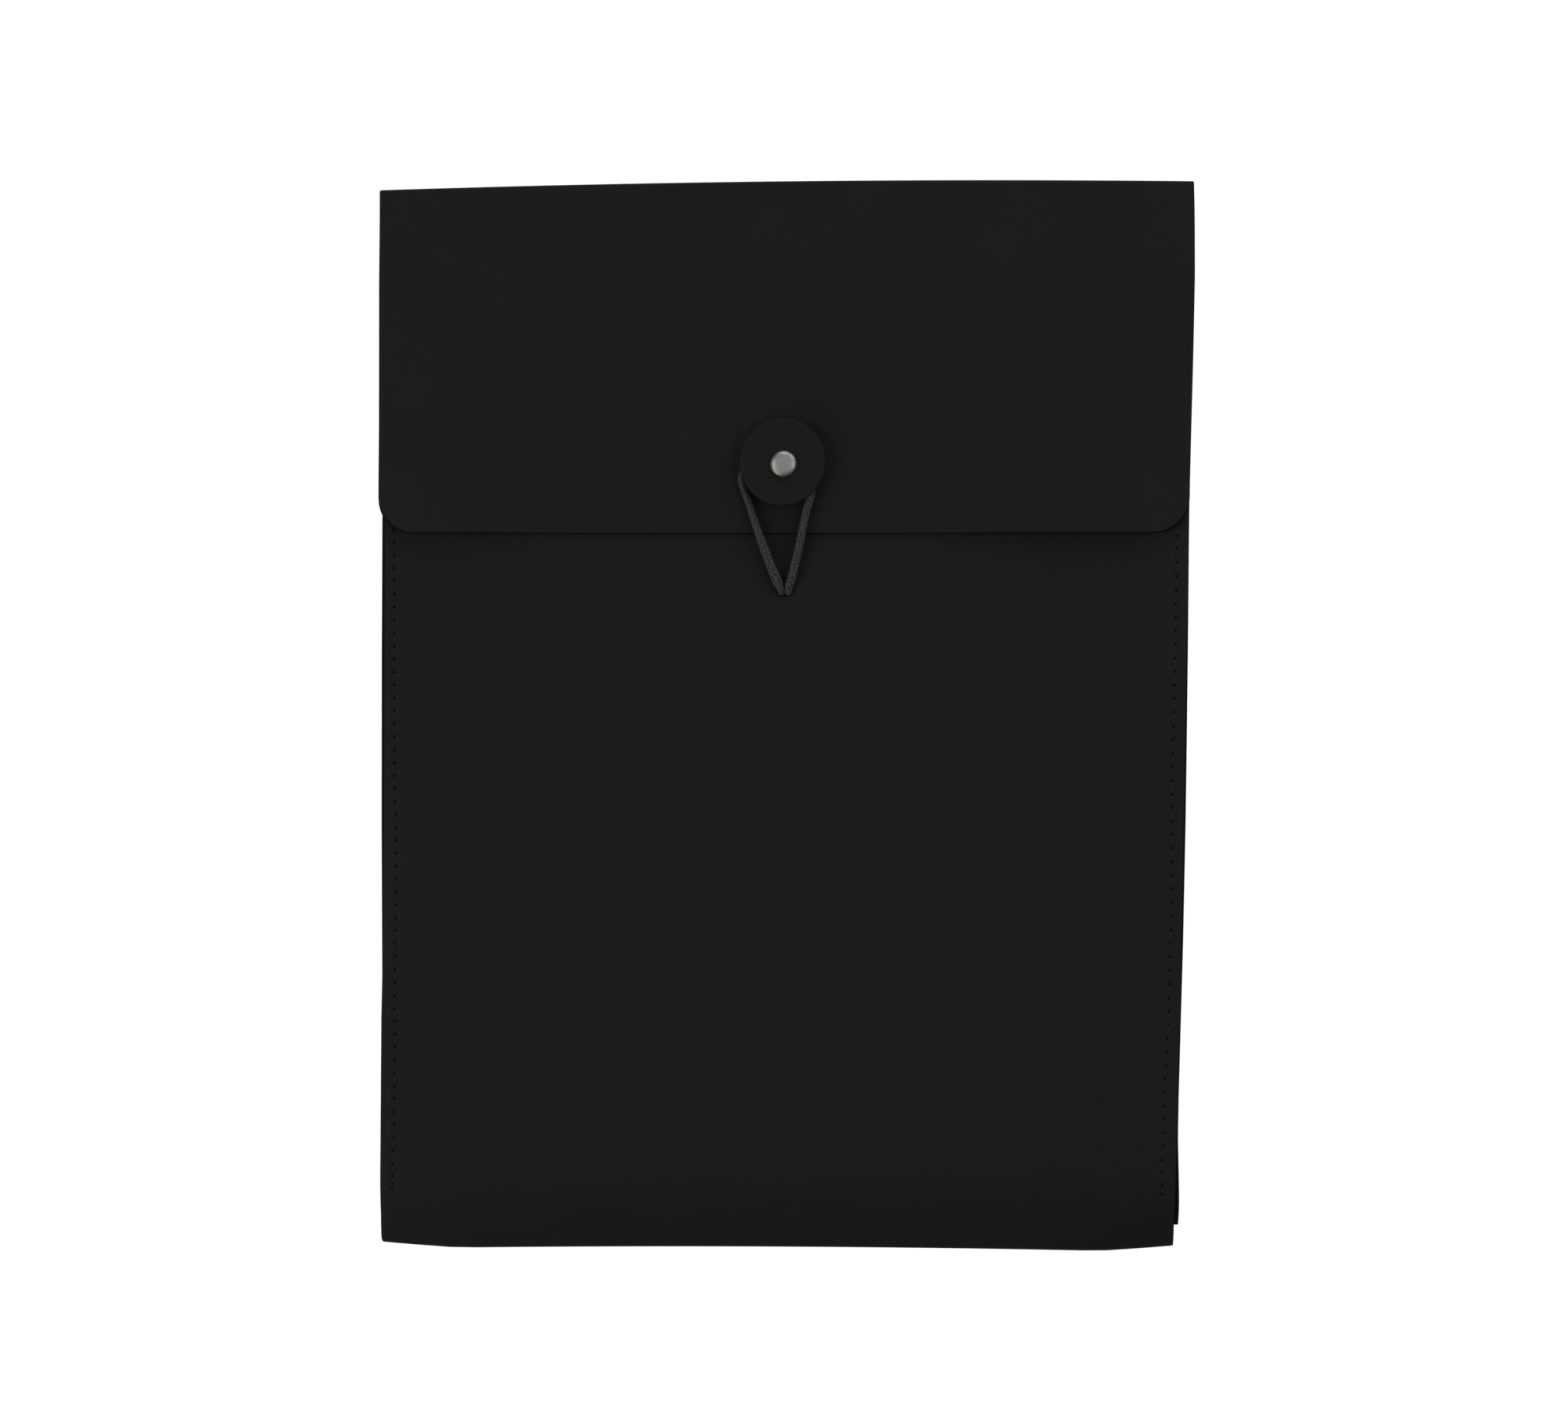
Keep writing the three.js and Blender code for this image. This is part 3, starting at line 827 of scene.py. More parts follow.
@dataclass(frozen=True)
class Pocket:
    """The shape of the pocket that the wallet's sheet makes: its widths, heights and curves."""

    half_width: float = 120.5
    centre_x: float = 0.375
    still_x: float = 104.0
    top_y: float = 160.0
    bottom_y: float = -160.0
    mouth_y: float = 156.0
    sheet: float = 1.2
    thickness: float = 13.0
    nose_radius: float = 4.0
    curve_start_y: float = -134.0
    corner_pinch: float = 2.1
    corner_pinch_length: float = 23.5
    edge_softness: float = 0.22
    butt_y: float = -150.0
    butt_z: float = 7.75
    crease_radius: float = 1.0
    inner_crease_radius: float = 0.15
    crease_steps: int = 9
    anchor: Pair = (0.28, 38.2)

    @property
    def nose_y(self) -> float:
        """Place of the nose's centre."""
        return self.bottom_y + self.nose_radius

    @property
    def curve_angle(self) -> float:
        """Angle over which the front's wide arc turns before it meets the nose."""
        drop = self.thickness - 2 * self.nose_radius
        return 2 * math.atan(drop / (self.curve_start_y - self.nose_y))

    @property
    def curve_radius(self) -> float:
        """Radius of the front's wide arc."""
        reach = self.curve_start_y - self.nose_y
        return self.nose_radius + reach / math.sin(self.curve_angle)

    def front_height(self, y: Array | float, depth: float = 0.0) -> Array:
        """Height of the front at a place up the wallet.

        Args:
            y: Place up the wallet.
            depth: How far below the outer face.

        Returns:
            The height above the table.
        """
        below = np.minimum(0, np.asarray(y, float) - self.curve_start_y)
        radius = self.curve_radius - depth
        return self.thickness - self.curve_radius + np.sqrt(radius * radius - below * below)

    def pinch(self, x: Array) -> Array:
        """How far the bottom wrap is drawn up towards its corners, at places across."""
        share = (np.abs(x) - self.half_width) / self.corner_pinch_length + 1
        return self.corner_pinch * np.clip(share, 0, 1) ** 1.15

    def front_lean(self, y: Array | float) -> Array:
        """Angle that the front has turned towards the nose at a place up the wallet."""
        below = np.minimum(0, np.asarray(y, float) - self.curve_start_y)
        return np.arcsin(-below / self.curve_radius)

    def crease(self, first: float, outer_z: float, inner_z: float) -> list[tuple[float, ...]]:
        """The side view of a fold at the top edge, over a quarter turn.

        Args:
            first: The angle at which the turn starts.
            outer_z: Height of the outer arc's centre.
            inner_z: Height of the inner arc's centre.

        Returns:
            Outer y and z, and inner y and z, point by point.
        """
        r, small = self.crease_radius, self.inner_crease_radius
        outer_y, inner_y = self.top_y - r, self.top_y - self.sheet - small
        points = []
        for angle in np.linspace(first, first + math.pi / 2, self.crease_steps):
            c, s = math.cos(angle), math.sin(angle)
            points.append((outer_y + r * c, outer_z + r * s, inner_y + small * c, inner_z + small * s))
        return points


@dataclass(frozen=True)
class StitchLine:
    """A lockstitched seam near one side edge, with a needle hole about every 4 mm.

    first_gaps are the short, uneven stitches at its lower end, where it was sewn back over
    itself. line gives its distance from the wallet's middle line at places up the wallet.
    """

    side: Side
    lowest_y: float = -142.9
    pitch: float = 4.0
    first_gaps: tuple[float, ...] = ()
    line: Table = ((-160.0, 116.9), (160.0, 116.9))
    count: int = 73
    hole_radius: float = 0.36
    hole_depth: float = 0.95
    groove_width: float = 0.9
    groove_depth: float = 0.06
    groove_fade: float = 2.5

    @property
    def holes_y(self) -> Array:
        """Places of the needle holes up the wallet, the lowest first."""
        gaps = [*self.first_gaps, *[self.pitch] * (self.count - len(self.first_gaps))]
        return self.lowest_y + np.concatenate([[0.0], np.cumsum(gaps)])

    def distance_in(self, y: Array | float) -> Array:
        """Distance of the seam from the wallet's middle line, at places up the wallet."""
        return np.interp(y, *zip(*self.line))

    def sunk(self, across: Array, y: Array) -> Array:
        """How deep the seam pulls the sheet in.

        Args:
            across: Distance from the wallet's middle line, positive on every side.
            y: Place up the wallet.

        Returns:
            The depth of groove and holes together.
        """
        holes, fade = self.holes_y, self.groove_fade
        hole_y = holes[np.round(np.interp(y, holes, np.arange(len(holes)))).astype(int)]
        off_line = across - self.distance_in(y)
        ends = ramp(y, holes[0] - fade, holes[0]) * ramp(-y, -holes[-1] - fade, -holes[-1])
        groove = self.groove_depth * hump(off_line, self.groove_width) * ends
        reach = np.hypot(off_line, y - hole_y) / self.hole_radius
        return groove + self.hole_depth * np.exp(-(reach**4))


@dataclass(frozen=True)
class StitchGrid:
    """Where a sheet's mesh has its points, so that every needle hole shows.

    The grid is drawn for even seams, and is then pulled to where the holes and edges really are.
    """

    inset_x: float = StitchLine.line[0][1]
    edge_x: float = Pocket.half_width
    still_x: float = Pocket.still_x
    shared_x: float = 108.0
    lowest_y: float = StitchLine.lowest_y
    pitch: float = StitchLine.pitch
    count: int = StitchLine.count
    row_steps: tuple[float, ...] = (-1.2, -0.46, -0.24, 0.0, 0.24, 0.46, 1.2)
    column_steps: tuple[float, ...] = (
        -8.0, -4.5, -2.6, -1.6, -0.9, -0.46, -0.24, 0.0, 0.24, 0.46, 0.9, 1.6,
    )

    def rows(self) -> list[float]:
        """Places up the wallet."""
        return [self.lowest_y + self.pitch * k + o for k in range(self.count + 1) for o in self.row_steps]

    def columns(self) -> list[float]:
        """Distances from the middle line."""
        return [self.inset_x + o for o in self.column_steps]

    def pulled(
        self, columns: Array, rows: Array, seams: dict[Side, StitchLine], edges: dict[Side, Table]
    ) -> tuple[Array, Array]:
        """Pulls the grid to its seams and edges.

        Args:
            columns: Distances from the middle line, negative on the left.
            rows: Places up the wallet.
            seams: The seam of each side.
            edges: The distance of each side edge at places up the wallet.

        Returns:
            The place across and the place up of every point.
        """
        even = self.lowest_y + self.pitch * np.arange(self.count + 1)
        low, high = rows[0] - 1.0, rows[-1]
        pulled = {
            side: np.interp(rows, [low, *even, high], [low, *seam.holes_y, high])
            for side, seam in seams.items()
        }
        share = np.clip(columns / self.shared_x, -1, 1) / 2 + 0.5
        y = pulled[Side.LEFT][:, None] * (1 - share) + pulled[Side.RIGHT][:, None] * share
        x = []
        for places in zip(*(pulled[side] for side in Side)):
            real = {}
            for side, place in zip(Side, places):
                edge = float(np.interp(place, *zip(*edges[side])))
                real[side] = [0.0, self.still_x, float(seams[side].distance_in(place)), edge]
            x.append(sides_moved(columns, [0.0, self.still_x, self.inset_x, self.edge_x], real))
        return np.array(x), y


GRID = StitchGrid()
FRONT_SEAMS = {
    Side.LEFT: StitchLine(
        Side.LEFT,
        lowest_y=-140.6,
        pitch=3.9,
        line=(
            (-140.6, 116.94), (-136.5, 116.66), (-125.0, 116.28), (-107.0, 116.1), (-65.0, 116.3),
            (-45.0, 116.0), (-38.0, 115.95), (-21.0, 116.5), (5.0, 116.8), (47.0, 116.9),
        ),
    ),
    Side.RIGHT: StitchLine(
        Side.RIGHT,
        lowest_y=-141.4,
        pitch=4.05,
        first_gaps=(2.8, 3.85, 3.7, 4.1),
        line=(
            (-141.4, 115.65), (-138.6, 115.7), (-134.8, 115.2), (-131.0, 115.2), (-127.0, 115.5),
            (-107.0, 115.7), (-94.0, 116.35), (-61.0, 116.68), (-28.0, 116.35), (-8.0, 116.26),
            (23.0, 116.56), (56.0, 116.65),
        ),
    ),
}
BACK_SEAMS = {side: StitchLine(side, groove_depth=0.3) for side in Side}
FRONT_EDGES = {
    Side.LEFT: (
        (-157.0, 120.75), (-150.0, 120.5), (-89.0, 120.4), (-65.0, 120.0), (-30.0, 119.88),
        (50.0, 119.85), (156.0, 119.85),
    ),
    Side.RIGHT: (
        (-157.0, 119.86), (-151.0, 119.6), (-140.0, 119.5), (-112.0, 119.5), (-88.0, 119.8),
        (50.0, 120.0), (156.0, 120.0),
    ),
}


def seams_sunk(seams: dict[Side, StitchLine], x: Array, y: Array) -> Array:
    """How deep both seams of a face pull it in.

    Args:
        seams: The face's two seams.
        x: Distance from the middle line, negative on the left.
        y: Place up the wallet.

    Returns:
        The depth at each place.
    """
    return sum(seams[side].sunk(x * side.value, y) for side in Side)


def gentle_waves(x: Array, y: Array, height: float, phase: float) -> Array:
    """The slow unevenness of a sheet that has been folded and lain about.

    Args:
        x: Place across.
        y: Place up the wallet.
        height: About how high the waves are.
        phase: Sets one sheet's waves apart from another's.

    Returns:
        The height at each place.
    """
    return height * (
        0.5 * np.sin(x / 31 + phase) * np.cos(y / 47 - phase)
        + 0.3 * np.sin(x / 17 - y / 29 + 2 * phase)
        + 0.2 * np.cos(x / 53 + y / 19 - phase)
    )


@dataclass
class PocketSheet:
    """The front and the bottom wrap, one sheet, with the hole that the elastic comes through."""

    pocket: Pocket
    workshop: Workshop
    nose_steps: int = 22

    def front_relief(self, x: Array, y: Array) -> Array:
        """Height of the front's outer face above its plain shape.

        Args:
            x: Distance from the pocket's middle line.
            y: Place up the wallet.

        Returns:
            The height at each place, negative where the face is sunk.
        """
        above_nose = ramp(y, -156, -140)
        soft = gentle_waves(x, y, 0.16, 0.7)
        soft += 0.12 * hump(x + 80, 13) * ramp(y, -110, -80) * ramp(-y, -60, -40)
        soft += 0.18 * ramp(np.abs(x), 103, 113) * ramp(-np.abs(x), -119.8, -118.2)
        hole_x, hole_y = self.pocket.anchor
        reach = np.hypot(np.maximum(0, np.abs(x + self.pocket.centre_x - hole_x) - 1.0), y - hole_y)
        hole = 0.3 * hump(reach, 4.5) + 0.72 * ramp(-reach, -1.4, -1.0)
        return soft * above_nose - seams_sunk(FRONT_SEAMS, x, y) - hole

    def columns(self) -> Array:
        """Places across, fine at the seams and the elastic's hole.

        Returns:
            Distances from the pocket's middle line, negative on the left.
        """
        edge = self.pocket.half_width
        half = [*np.arange(4, 108, 8.0), *GRID.columns(), edge - 0.7]
        hole = self.pocket.anchor[0] - self.pocket.centre_x + np.arange(-4.2, 4.3, 0.42)
        return spread_out([-edge, edge, *half, *[-h for h in half], *hole], 0.3)

    def front_rows(self) -> Array:
        """Places up the front, fine at the seam's holes and the elastic's hole.

        Returns:
            The places, the lowest first.
        """
        low = [-157.0, -156.0, -154.8, -153.4, -152.0, -150.4, -148.8, -147.2, -145.8, -144.8]
        high = [151.0, 152.6, 154.2, 155.3, self.pocket.mouth_y]
        hole = self.pocket.anchor[1] - 0.5 + np.arange(-3.6, 3.7, 0.4)
        return spread_out([*low, *GRID.rows(), *high, *hole], 0.22)

    def front(self) -> MeshPlan:
        """Plans the front with the bottom wrap, from under the nose up to the mouth.

        Returns:
            The plan of the closed sheet.
        """
        p = self.pocket
        columns = self.columns()
        x, y = GRID.pulled(columns, self.front_rows(), FRONT_SEAMS, FRONT_EDGES)
        lean = p.front_lean(y)
        drawn = y + p.pinch(x) * ramp(-y, 136, 157)
        outer = [x, drawn, p.front_height(y) + self.front_relief(x, y)]
        inner = [x, drawn + p.sheet * np.sin(lean), p.front_height(y) - p.sheet * np.cos(lean)]
        nose = self.nose(columns, float(y[0, 0]))
        faces = [np.concatenate([n, np.stack(f, axis=-1)]) for n, f in zip(nose, (outer, inner))]
        for face in faces:
            face[..., 0] += p.centre_x
        return closed_sheet(*faces, p.edge_softness, butt_rows=(True, False))

    def nose(self, columns: Array, top_y: float) -> tuple[Array, Array]:
        """The wrap round the bottom edge, drawn in at both corners.

        Args:
            columns: Places across.
            top_y: The lowest place of the front's own rows.

        Returns:
            The outer and the inner points, from under the wallet round to the front.
        """
        p = self.pocket
        start, end = 1.5 * math.pi, math.pi / 2 + p.curve_angle - 0.03
        profile = [(y, 0.0, start, 0.0) for y in (p.butt_y, -152.0, -154.0)]
        for angle in np.linspace(start, end, self.nose_steps):
            y = p.nose_y + p.nose_radius * math.cos(angle)
            z = p.nose_radius + p.nose_radius * math.sin(angle)
            profile.append((y, z, float(angle), float(ramp((start - angle) / (start - end), 0, 0.45))))
        outer, inner = [], []
        for y, z, angle, tip in profile:
            if z > p.nose_radius and y > top_y - 0.15:
                continue
            rise = ramp(z, 0.5, 2 * p.nose_radius)
            wide = {s: p.half_width + (FRONT_EDGES[s][0][1] - p.half_width) * rise for s in Side}
            real = {side: [0.0, p.still_x, wide[side]] for side in Side}
            x = sides_moved(columns, [0.0, p.still_x, p.half_width], real)
            drawn = p.pinch(columns) * tip
            inner_y, inner_z = y - p.sheet * math.cos(angle), z - p.sheet * math.sin(angle)
            outer.append(np.stack([x, y + drawn, np.full_like(x, z)], axis=-1))
            inner.append(np.stack([x, inner_y + drawn, np.full_like(x, inner_z)], axis=-1))
        return np.array(outer), np.array(inner)

    def build(self) -> list[Piece]:
        """Makes the front with the bottom wrap.

        Returns:
            The dressed piece.
        """
        shop = self.workshop
        piece = self.front().made("front_with_bottom_wrap", [shop.face, shop.backing, shop.edge])
        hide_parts("front_panel", "bottom_fold")
        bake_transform(piece)
        return [piece]


@dataclass
class BackWithCrease:
    """The back and the lower half of the spine, one sheet that turns up at the back crease."""

    pocket: Pocket
    workshop: Workshop

    def profile(self) -> list[tuple[float, ...]]:
        """The side view of the sheet, outer and inner point by point, and how flat it lies.

        Returns:
            Outer y and z, inner y and z, and 1 on the flat back or 0 on the crease and spine.
        """
        p, r = self.pocket, self.pocket.crease_radius
        rows = [*GRID.rows(), p.butt_y, -147.0, -145.0, 151.5, 153.2, 154.8, 156.2]
        flat = [(y, 0.0, y, p.sheet) for y in spread_out([*rows, p.top_y - r - 1.0], 0.22)]
        fold = p.crease(-math.pi / 2, r, p.sheet + p.inner_crease_radius)
        upright = [(p.top_y, z, p.top_y - p.sheet, z) for z in (2.0, 3.2, 4.6, 6.2, p.butt_z)]
        return [(*point, 1.0) for point in flat] + [(*point, 0.0) for point in fold + upright]

    def plan(self) -> MeshPlan:
        """Plans the sheet.

        Returns:
            The plan of the closed sheet.
        """
        p = self.pocket
        half = [*np.arange(5, 108, 10.0), *GRID.columns(), p.half_width - 0.5, p.half_width - 1.6]
        columns = spread_out([-p.half_width, p.half_width, *half, *[-h for h in half]], 0.3)
        outer, inner = [], []
        for y, z, inner_y, inner_z, flat in self.profile():
            sunk = flat * seams_sunk(BACK_SEAMS, columns, np.full_like(columns, y))
            x = columns + p.centre_x * (1 - float(ramp(y, 135, p.top_y - 1.5)))
            outer.append(level_rows(x, y, z + sunk))
            inner.append(level_rows(x, inner_y, inner_z))
        return closed_sheet(np.array(outer), np.array(inner), p.edge_softness, (True, True))

    def build(self) -> list[Piece]:
        """Makes the back with its back crease.

        Returns:
            The dressed piece.
        """
        shop = self.workshop
        piece = self.plan().made("back_with_lower_spine", [shop.face, shop.backing, shop.edge])
        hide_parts("back_panel")
        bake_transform(piece)
        return [piece]


@dataclass
class FlapWithCrease:
    """The flap and the upper half of the spine, one sheet that turns over at the flap crease.

    sides gives the distance of the left and the right edge at places up the wallet.
    """

    pocket: Pocket
    workshop: Workshop
    button: Pair = (-0.45, 76.4)
    centre_x: float = -0.375
    top_z: float = 15.5
    edge_y: float = 55.5
    edge_bow: Pair = (1.25, -0.54)
    sides: Table = (
        (55.0, 120.6, 120.7), (71.0, 120.6, 120.75), (88.0, 120.5, 121.0), (110.0, 120.47, 121.35),
        (132.0, 120.45, 121.6), (150.0, 120.25, 121.4), (160.0, 120.2, 121.1),
    )
    corner_radius: float = 11.0
    corner_lean: float = 0.6

    def relief(self, x: Array, y: Array) -> Array:
        """Height of the flap's outer face above its plain shape.

        Args:
            x: Distance from the flap's middle line.
            y: Place up the wallet.

        Returns:
            The height at each place.
        """
        middle = 1 - ramp(-x, 58, 96) - ramp(x, 36, 80)
        droop = -1.0 * ramp(-y, -78, -57) * middle
        curled = 1 - 0.75 * ramp(np.abs(x), 105, 119)
        lifted = 1.5 * ramp(-y, -84, -56) * (1 - middle) * curled
        pressed = -0.45 * hump(np.hypot(x - self.button[0], y - self.button[1]), 11.0)
        return ramp(-y, -157, -150) * (gentle_waves(x, y, 0.14, 2.1) + droop + lifted + pressed)

    def columns(self) -> Array:
        """Places across, fine by the side edges and round the button.

        Returns:
            Distances from the middle line, negative on the left.
        """
        half = [*np.arange(4, 104, 6.0), 107, 110, 112, 114, 116, 117.5, 118.7, 119.5]
        edge = self.pocket.half_width
        return spread_out([-edge, edge, *half, *[-h for h in half], *np.arange(-10, 11, 2.0)], 0.5)

    def rows(self) -> Array:
        """Places down the flap, fine at the crease, round the button and at the round corners.

        Returns:
            The places, the highest first.
        """
        r = self.corner_radius
        corner = self.edge_y + r - r * np.sin(np.linspace(0, math.pi / 2, 15))
        near = self.button[1] + np.arange(-10, 11, 2.0)
        plain = [*np.arange(92, 156, 5.0), self.edge_y + 0.45, 156.5, 158.0]
        return spread_out([*corner, *near, *plain], 0.3)[::-1]

    def profile(self) -> list[tuple[float, ...]]:
        """The side view of the sheet, from mid-spine over the crease and down the flap.

        Returns:
            Outer y and z, and inner y and z, point by point.
        """
        p, under = self.pocket, self.top_z - self.pocket.sheet
        upright = [(p.top_y, z, p.top_y - p.sheet, z) for z in (p.butt_z, 9.2, 10.8, 12.2, 13.4)]
        fold = p.crease(0.0, self.top_z - p.crease_radius, under - p.inner_crease_radius)
        return upright + fold + [(y, self.top_z, y, under) for y in self.rows()]

    def plan(self) -> MeshPlan:
        """Plans the sheet.

        Returns:
            The plan of the closed sheet.
        """
        p, columns = self.pocket, self.columns()
        fixed = p.half_width - self.corner_radius - 3
        places, *halves = zip(*self.sides)
        outer, inner = [], []
        for y, z, inner_y, inner_z in self.profile():
            over = float(ramp(z, 9.0, self.top_z))
            short = self.edge_y + self.corner_radius - y
            cut = 0.0
            if short > 0:
                cut = self.corner_radius - math.sqrt(max(0.0, self.corner_radius**2 - short**2))
            real = {}
            for side, half in zip(Side, halves):
                wide = p.half_width + (float(np.interp(y, places, half)) - p.half_width) * over - cut
                real[side] = [0.0, fixed, wide]
            x = sides_moved(columns, [0.0, fixed, p.half_width], real) + self.centre_x * over
            u = x / p.half_width
            bow = (self.edge_bow[0] * u * u + self.edge_bow[1] * u) * float(ramp(-y, -105, -62))
            rise = (z > self.top_z - 0.01) * self.relief(x, y + bow)
            outer.append(np.stack([x, y + bow, z + rise], axis=-1))
            inner.append(np.stack([x, inner_y + bow, inner_z + rise], axis=-1))
            # At the round corners the inner face is pushed outward, so that the edge slopes and its
            # painted shadow black shows from above.
            if short > 0:
                sine = min(1.0, short / self.corner_radius)
                cosine = math.sqrt(1 - sine * sine)
                lean = self.corner_lean * 2 * sine * cosine
                for at, side in ((0, -1), (-1, 1)):
                    inner[-1][at] += lean * np.array([side * cosine, -sine, 0.0])
        return closed_sheet(np.array(outer), np.array(inner), p.edge_softness, (True, False))

    def build(self) -> list[Piece]:
        """Makes the flap with its flap crease.

        Returns:
            The dressed piece.
        """
        shop = self.workshop
        piece = self.plan().made("flap_with_upper_spine", [shop.face, shop.backing, shop.shadow_black_edge])
        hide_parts("flap", "spine")
        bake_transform(piece)
        return [piece]


def filleted(corners: Sequence[Pair], radii: Sequence[float], steps: int) -> Array:
    """A path through corners in a plane, with each inner corner rounded.

    Args:
        corners: The corners, in order.
        radii: The radius at each inner corner.
        steps: Points in each rounding and on each straight.

    Returns:
        The points of the path.
    """
    points = np.array(corners, float)
    path = []
    last = points[0]
    for i, radius in enumerate(radii, start=1):
        here = points[i]
        back, on = (w / np.linalg.norm(w) for w in (points[i - 1] - here, points[i + 1] - here))
        half = math.acos(float(np.clip(back @ on, -1, 1))) / 2
        cut = radius / math.tan(half)
        start, end = here + back * cut, here + on * cut
        centre = here + (back + on) / np.linalg.norm(back + on) * radius / math.sin(half)
        path += [last + (start - last) * k / steps for k in range(steps)]
        a0 = math.atan2(*(start - centre)[::-1])
        turn = math.atan2(*(end - centre)[::-1]) - a0
        turn = (turn + math.pi) % (2 * math.pi) - math.pi
        for angle in (a0 + turn * k / steps for k in range(steps)):
            path.append(centre + radius * np.array([math.cos(angle), math.sin(angle)]))
        last = end
    return np.array(path + [last + (points[-1] - last) * k / steps for k in range(steps + 1)])


@dataclass
class Gusset:
    """A side gusset: one strip folded inward between front and back.

    lips gives the distance of the left and the right front flange's edge at places up the
    wallet. It peeps out in places.
    """

    side: Side
    pocket: Pocket
    workshop: Workshop
    thickness: float = 0.9
    softness: float = 0.15
    flange_x: float = 115.4
    fold_x: float = 106.6
    fold_radii: Triple = (1.1, 0.75, 1.1)
    bottom_y: float = -150.7
    clearance: float = 0.1
    rows: int = 120
    lips: Table = (
        (-152.5, 120.2, 121.0), (-146.6, 120.2, 121.05), (-142.0, 120.2, 120.9),
        (-136.0, 120.2, 120.6), (-124.0, 120.2, 120.1), (-112.0, 120.2, 120.05),
        (-89.0, 120.25, 120.25), (-65.0, 120.47, 120.48), (-30.0, 120.75, 120.6),
        (20.0, 120.85, 120.5), (52.0, 120.77, 120.36), (156.0, 120.5, 120.3),
    )

    def section(self, y: float) -> tuple[Array, Array]:
        """The gusset's outline at a place up the wallet.

        Args:
            y: Place up the wallet.

        Returns:
            The points of the face towards the papers, and of the face towards the side.
        """
        p, half = self.pocket, self.thickness / 2
        front_z = float(p.front_height(y, p.sheet)) - self.clearance - half
        back_z = p.sheet + self.clearance + half
        places, left, right = zip(*self.lips)
        lip = float(np.interp(y, places, left if self.side is Side.LEFT else right))
        creased = self.fold_x + 0.45 * math.sin(y / 23 + self.side.value) + 0.2 * math.sin(y / 7.3)
        middle = (front_z + back_z) / 2 + 0.25 * math.sin(y / 31)
        front = (lip, front_z), (self.flange_x, front_z)
        back = (self.flange_x, back_z), (p.half_width, back_z)
        line = filleted((*front, (creased, middle), *back), self.fold_radii, 7)
        ahead = np.gradient(line, axis=0)
        square = np.stack([-ahead[:, 1], ahead[:, 0]], axis=1)
        square /= np.linalg.norm(square, axis=1)[:, None]
        return line + square * half, line - square * half

    def build(self) -> list[Piece]:
        """Makes the gusset.

        Returns:
            The dressed piece.
        """
        p, shop = self.pocket, self.workshop
        inside, outside = [], []
        for y in np.linspace(self.bottom_y, p.mouth_y, self.rows):
            for faces, line in zip((inside, outside), self.section(float(y))):
                faces.append(level_rows(p.centre_x + self.side.value * line[:, 0], y, line[:, 1]))
        plan = closed_sheet(np.array(outside), np.array(inside), self.softness)
        name = self.side.name.lower()
        piece = plan.made(f"{name}_gusset_folded", [shop.gusset, shop.gusset, shop.edge])
        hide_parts(f"{name}_gusset_front_half", f"{name}_gusset_back_half")
        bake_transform(piece)
        return [piece]


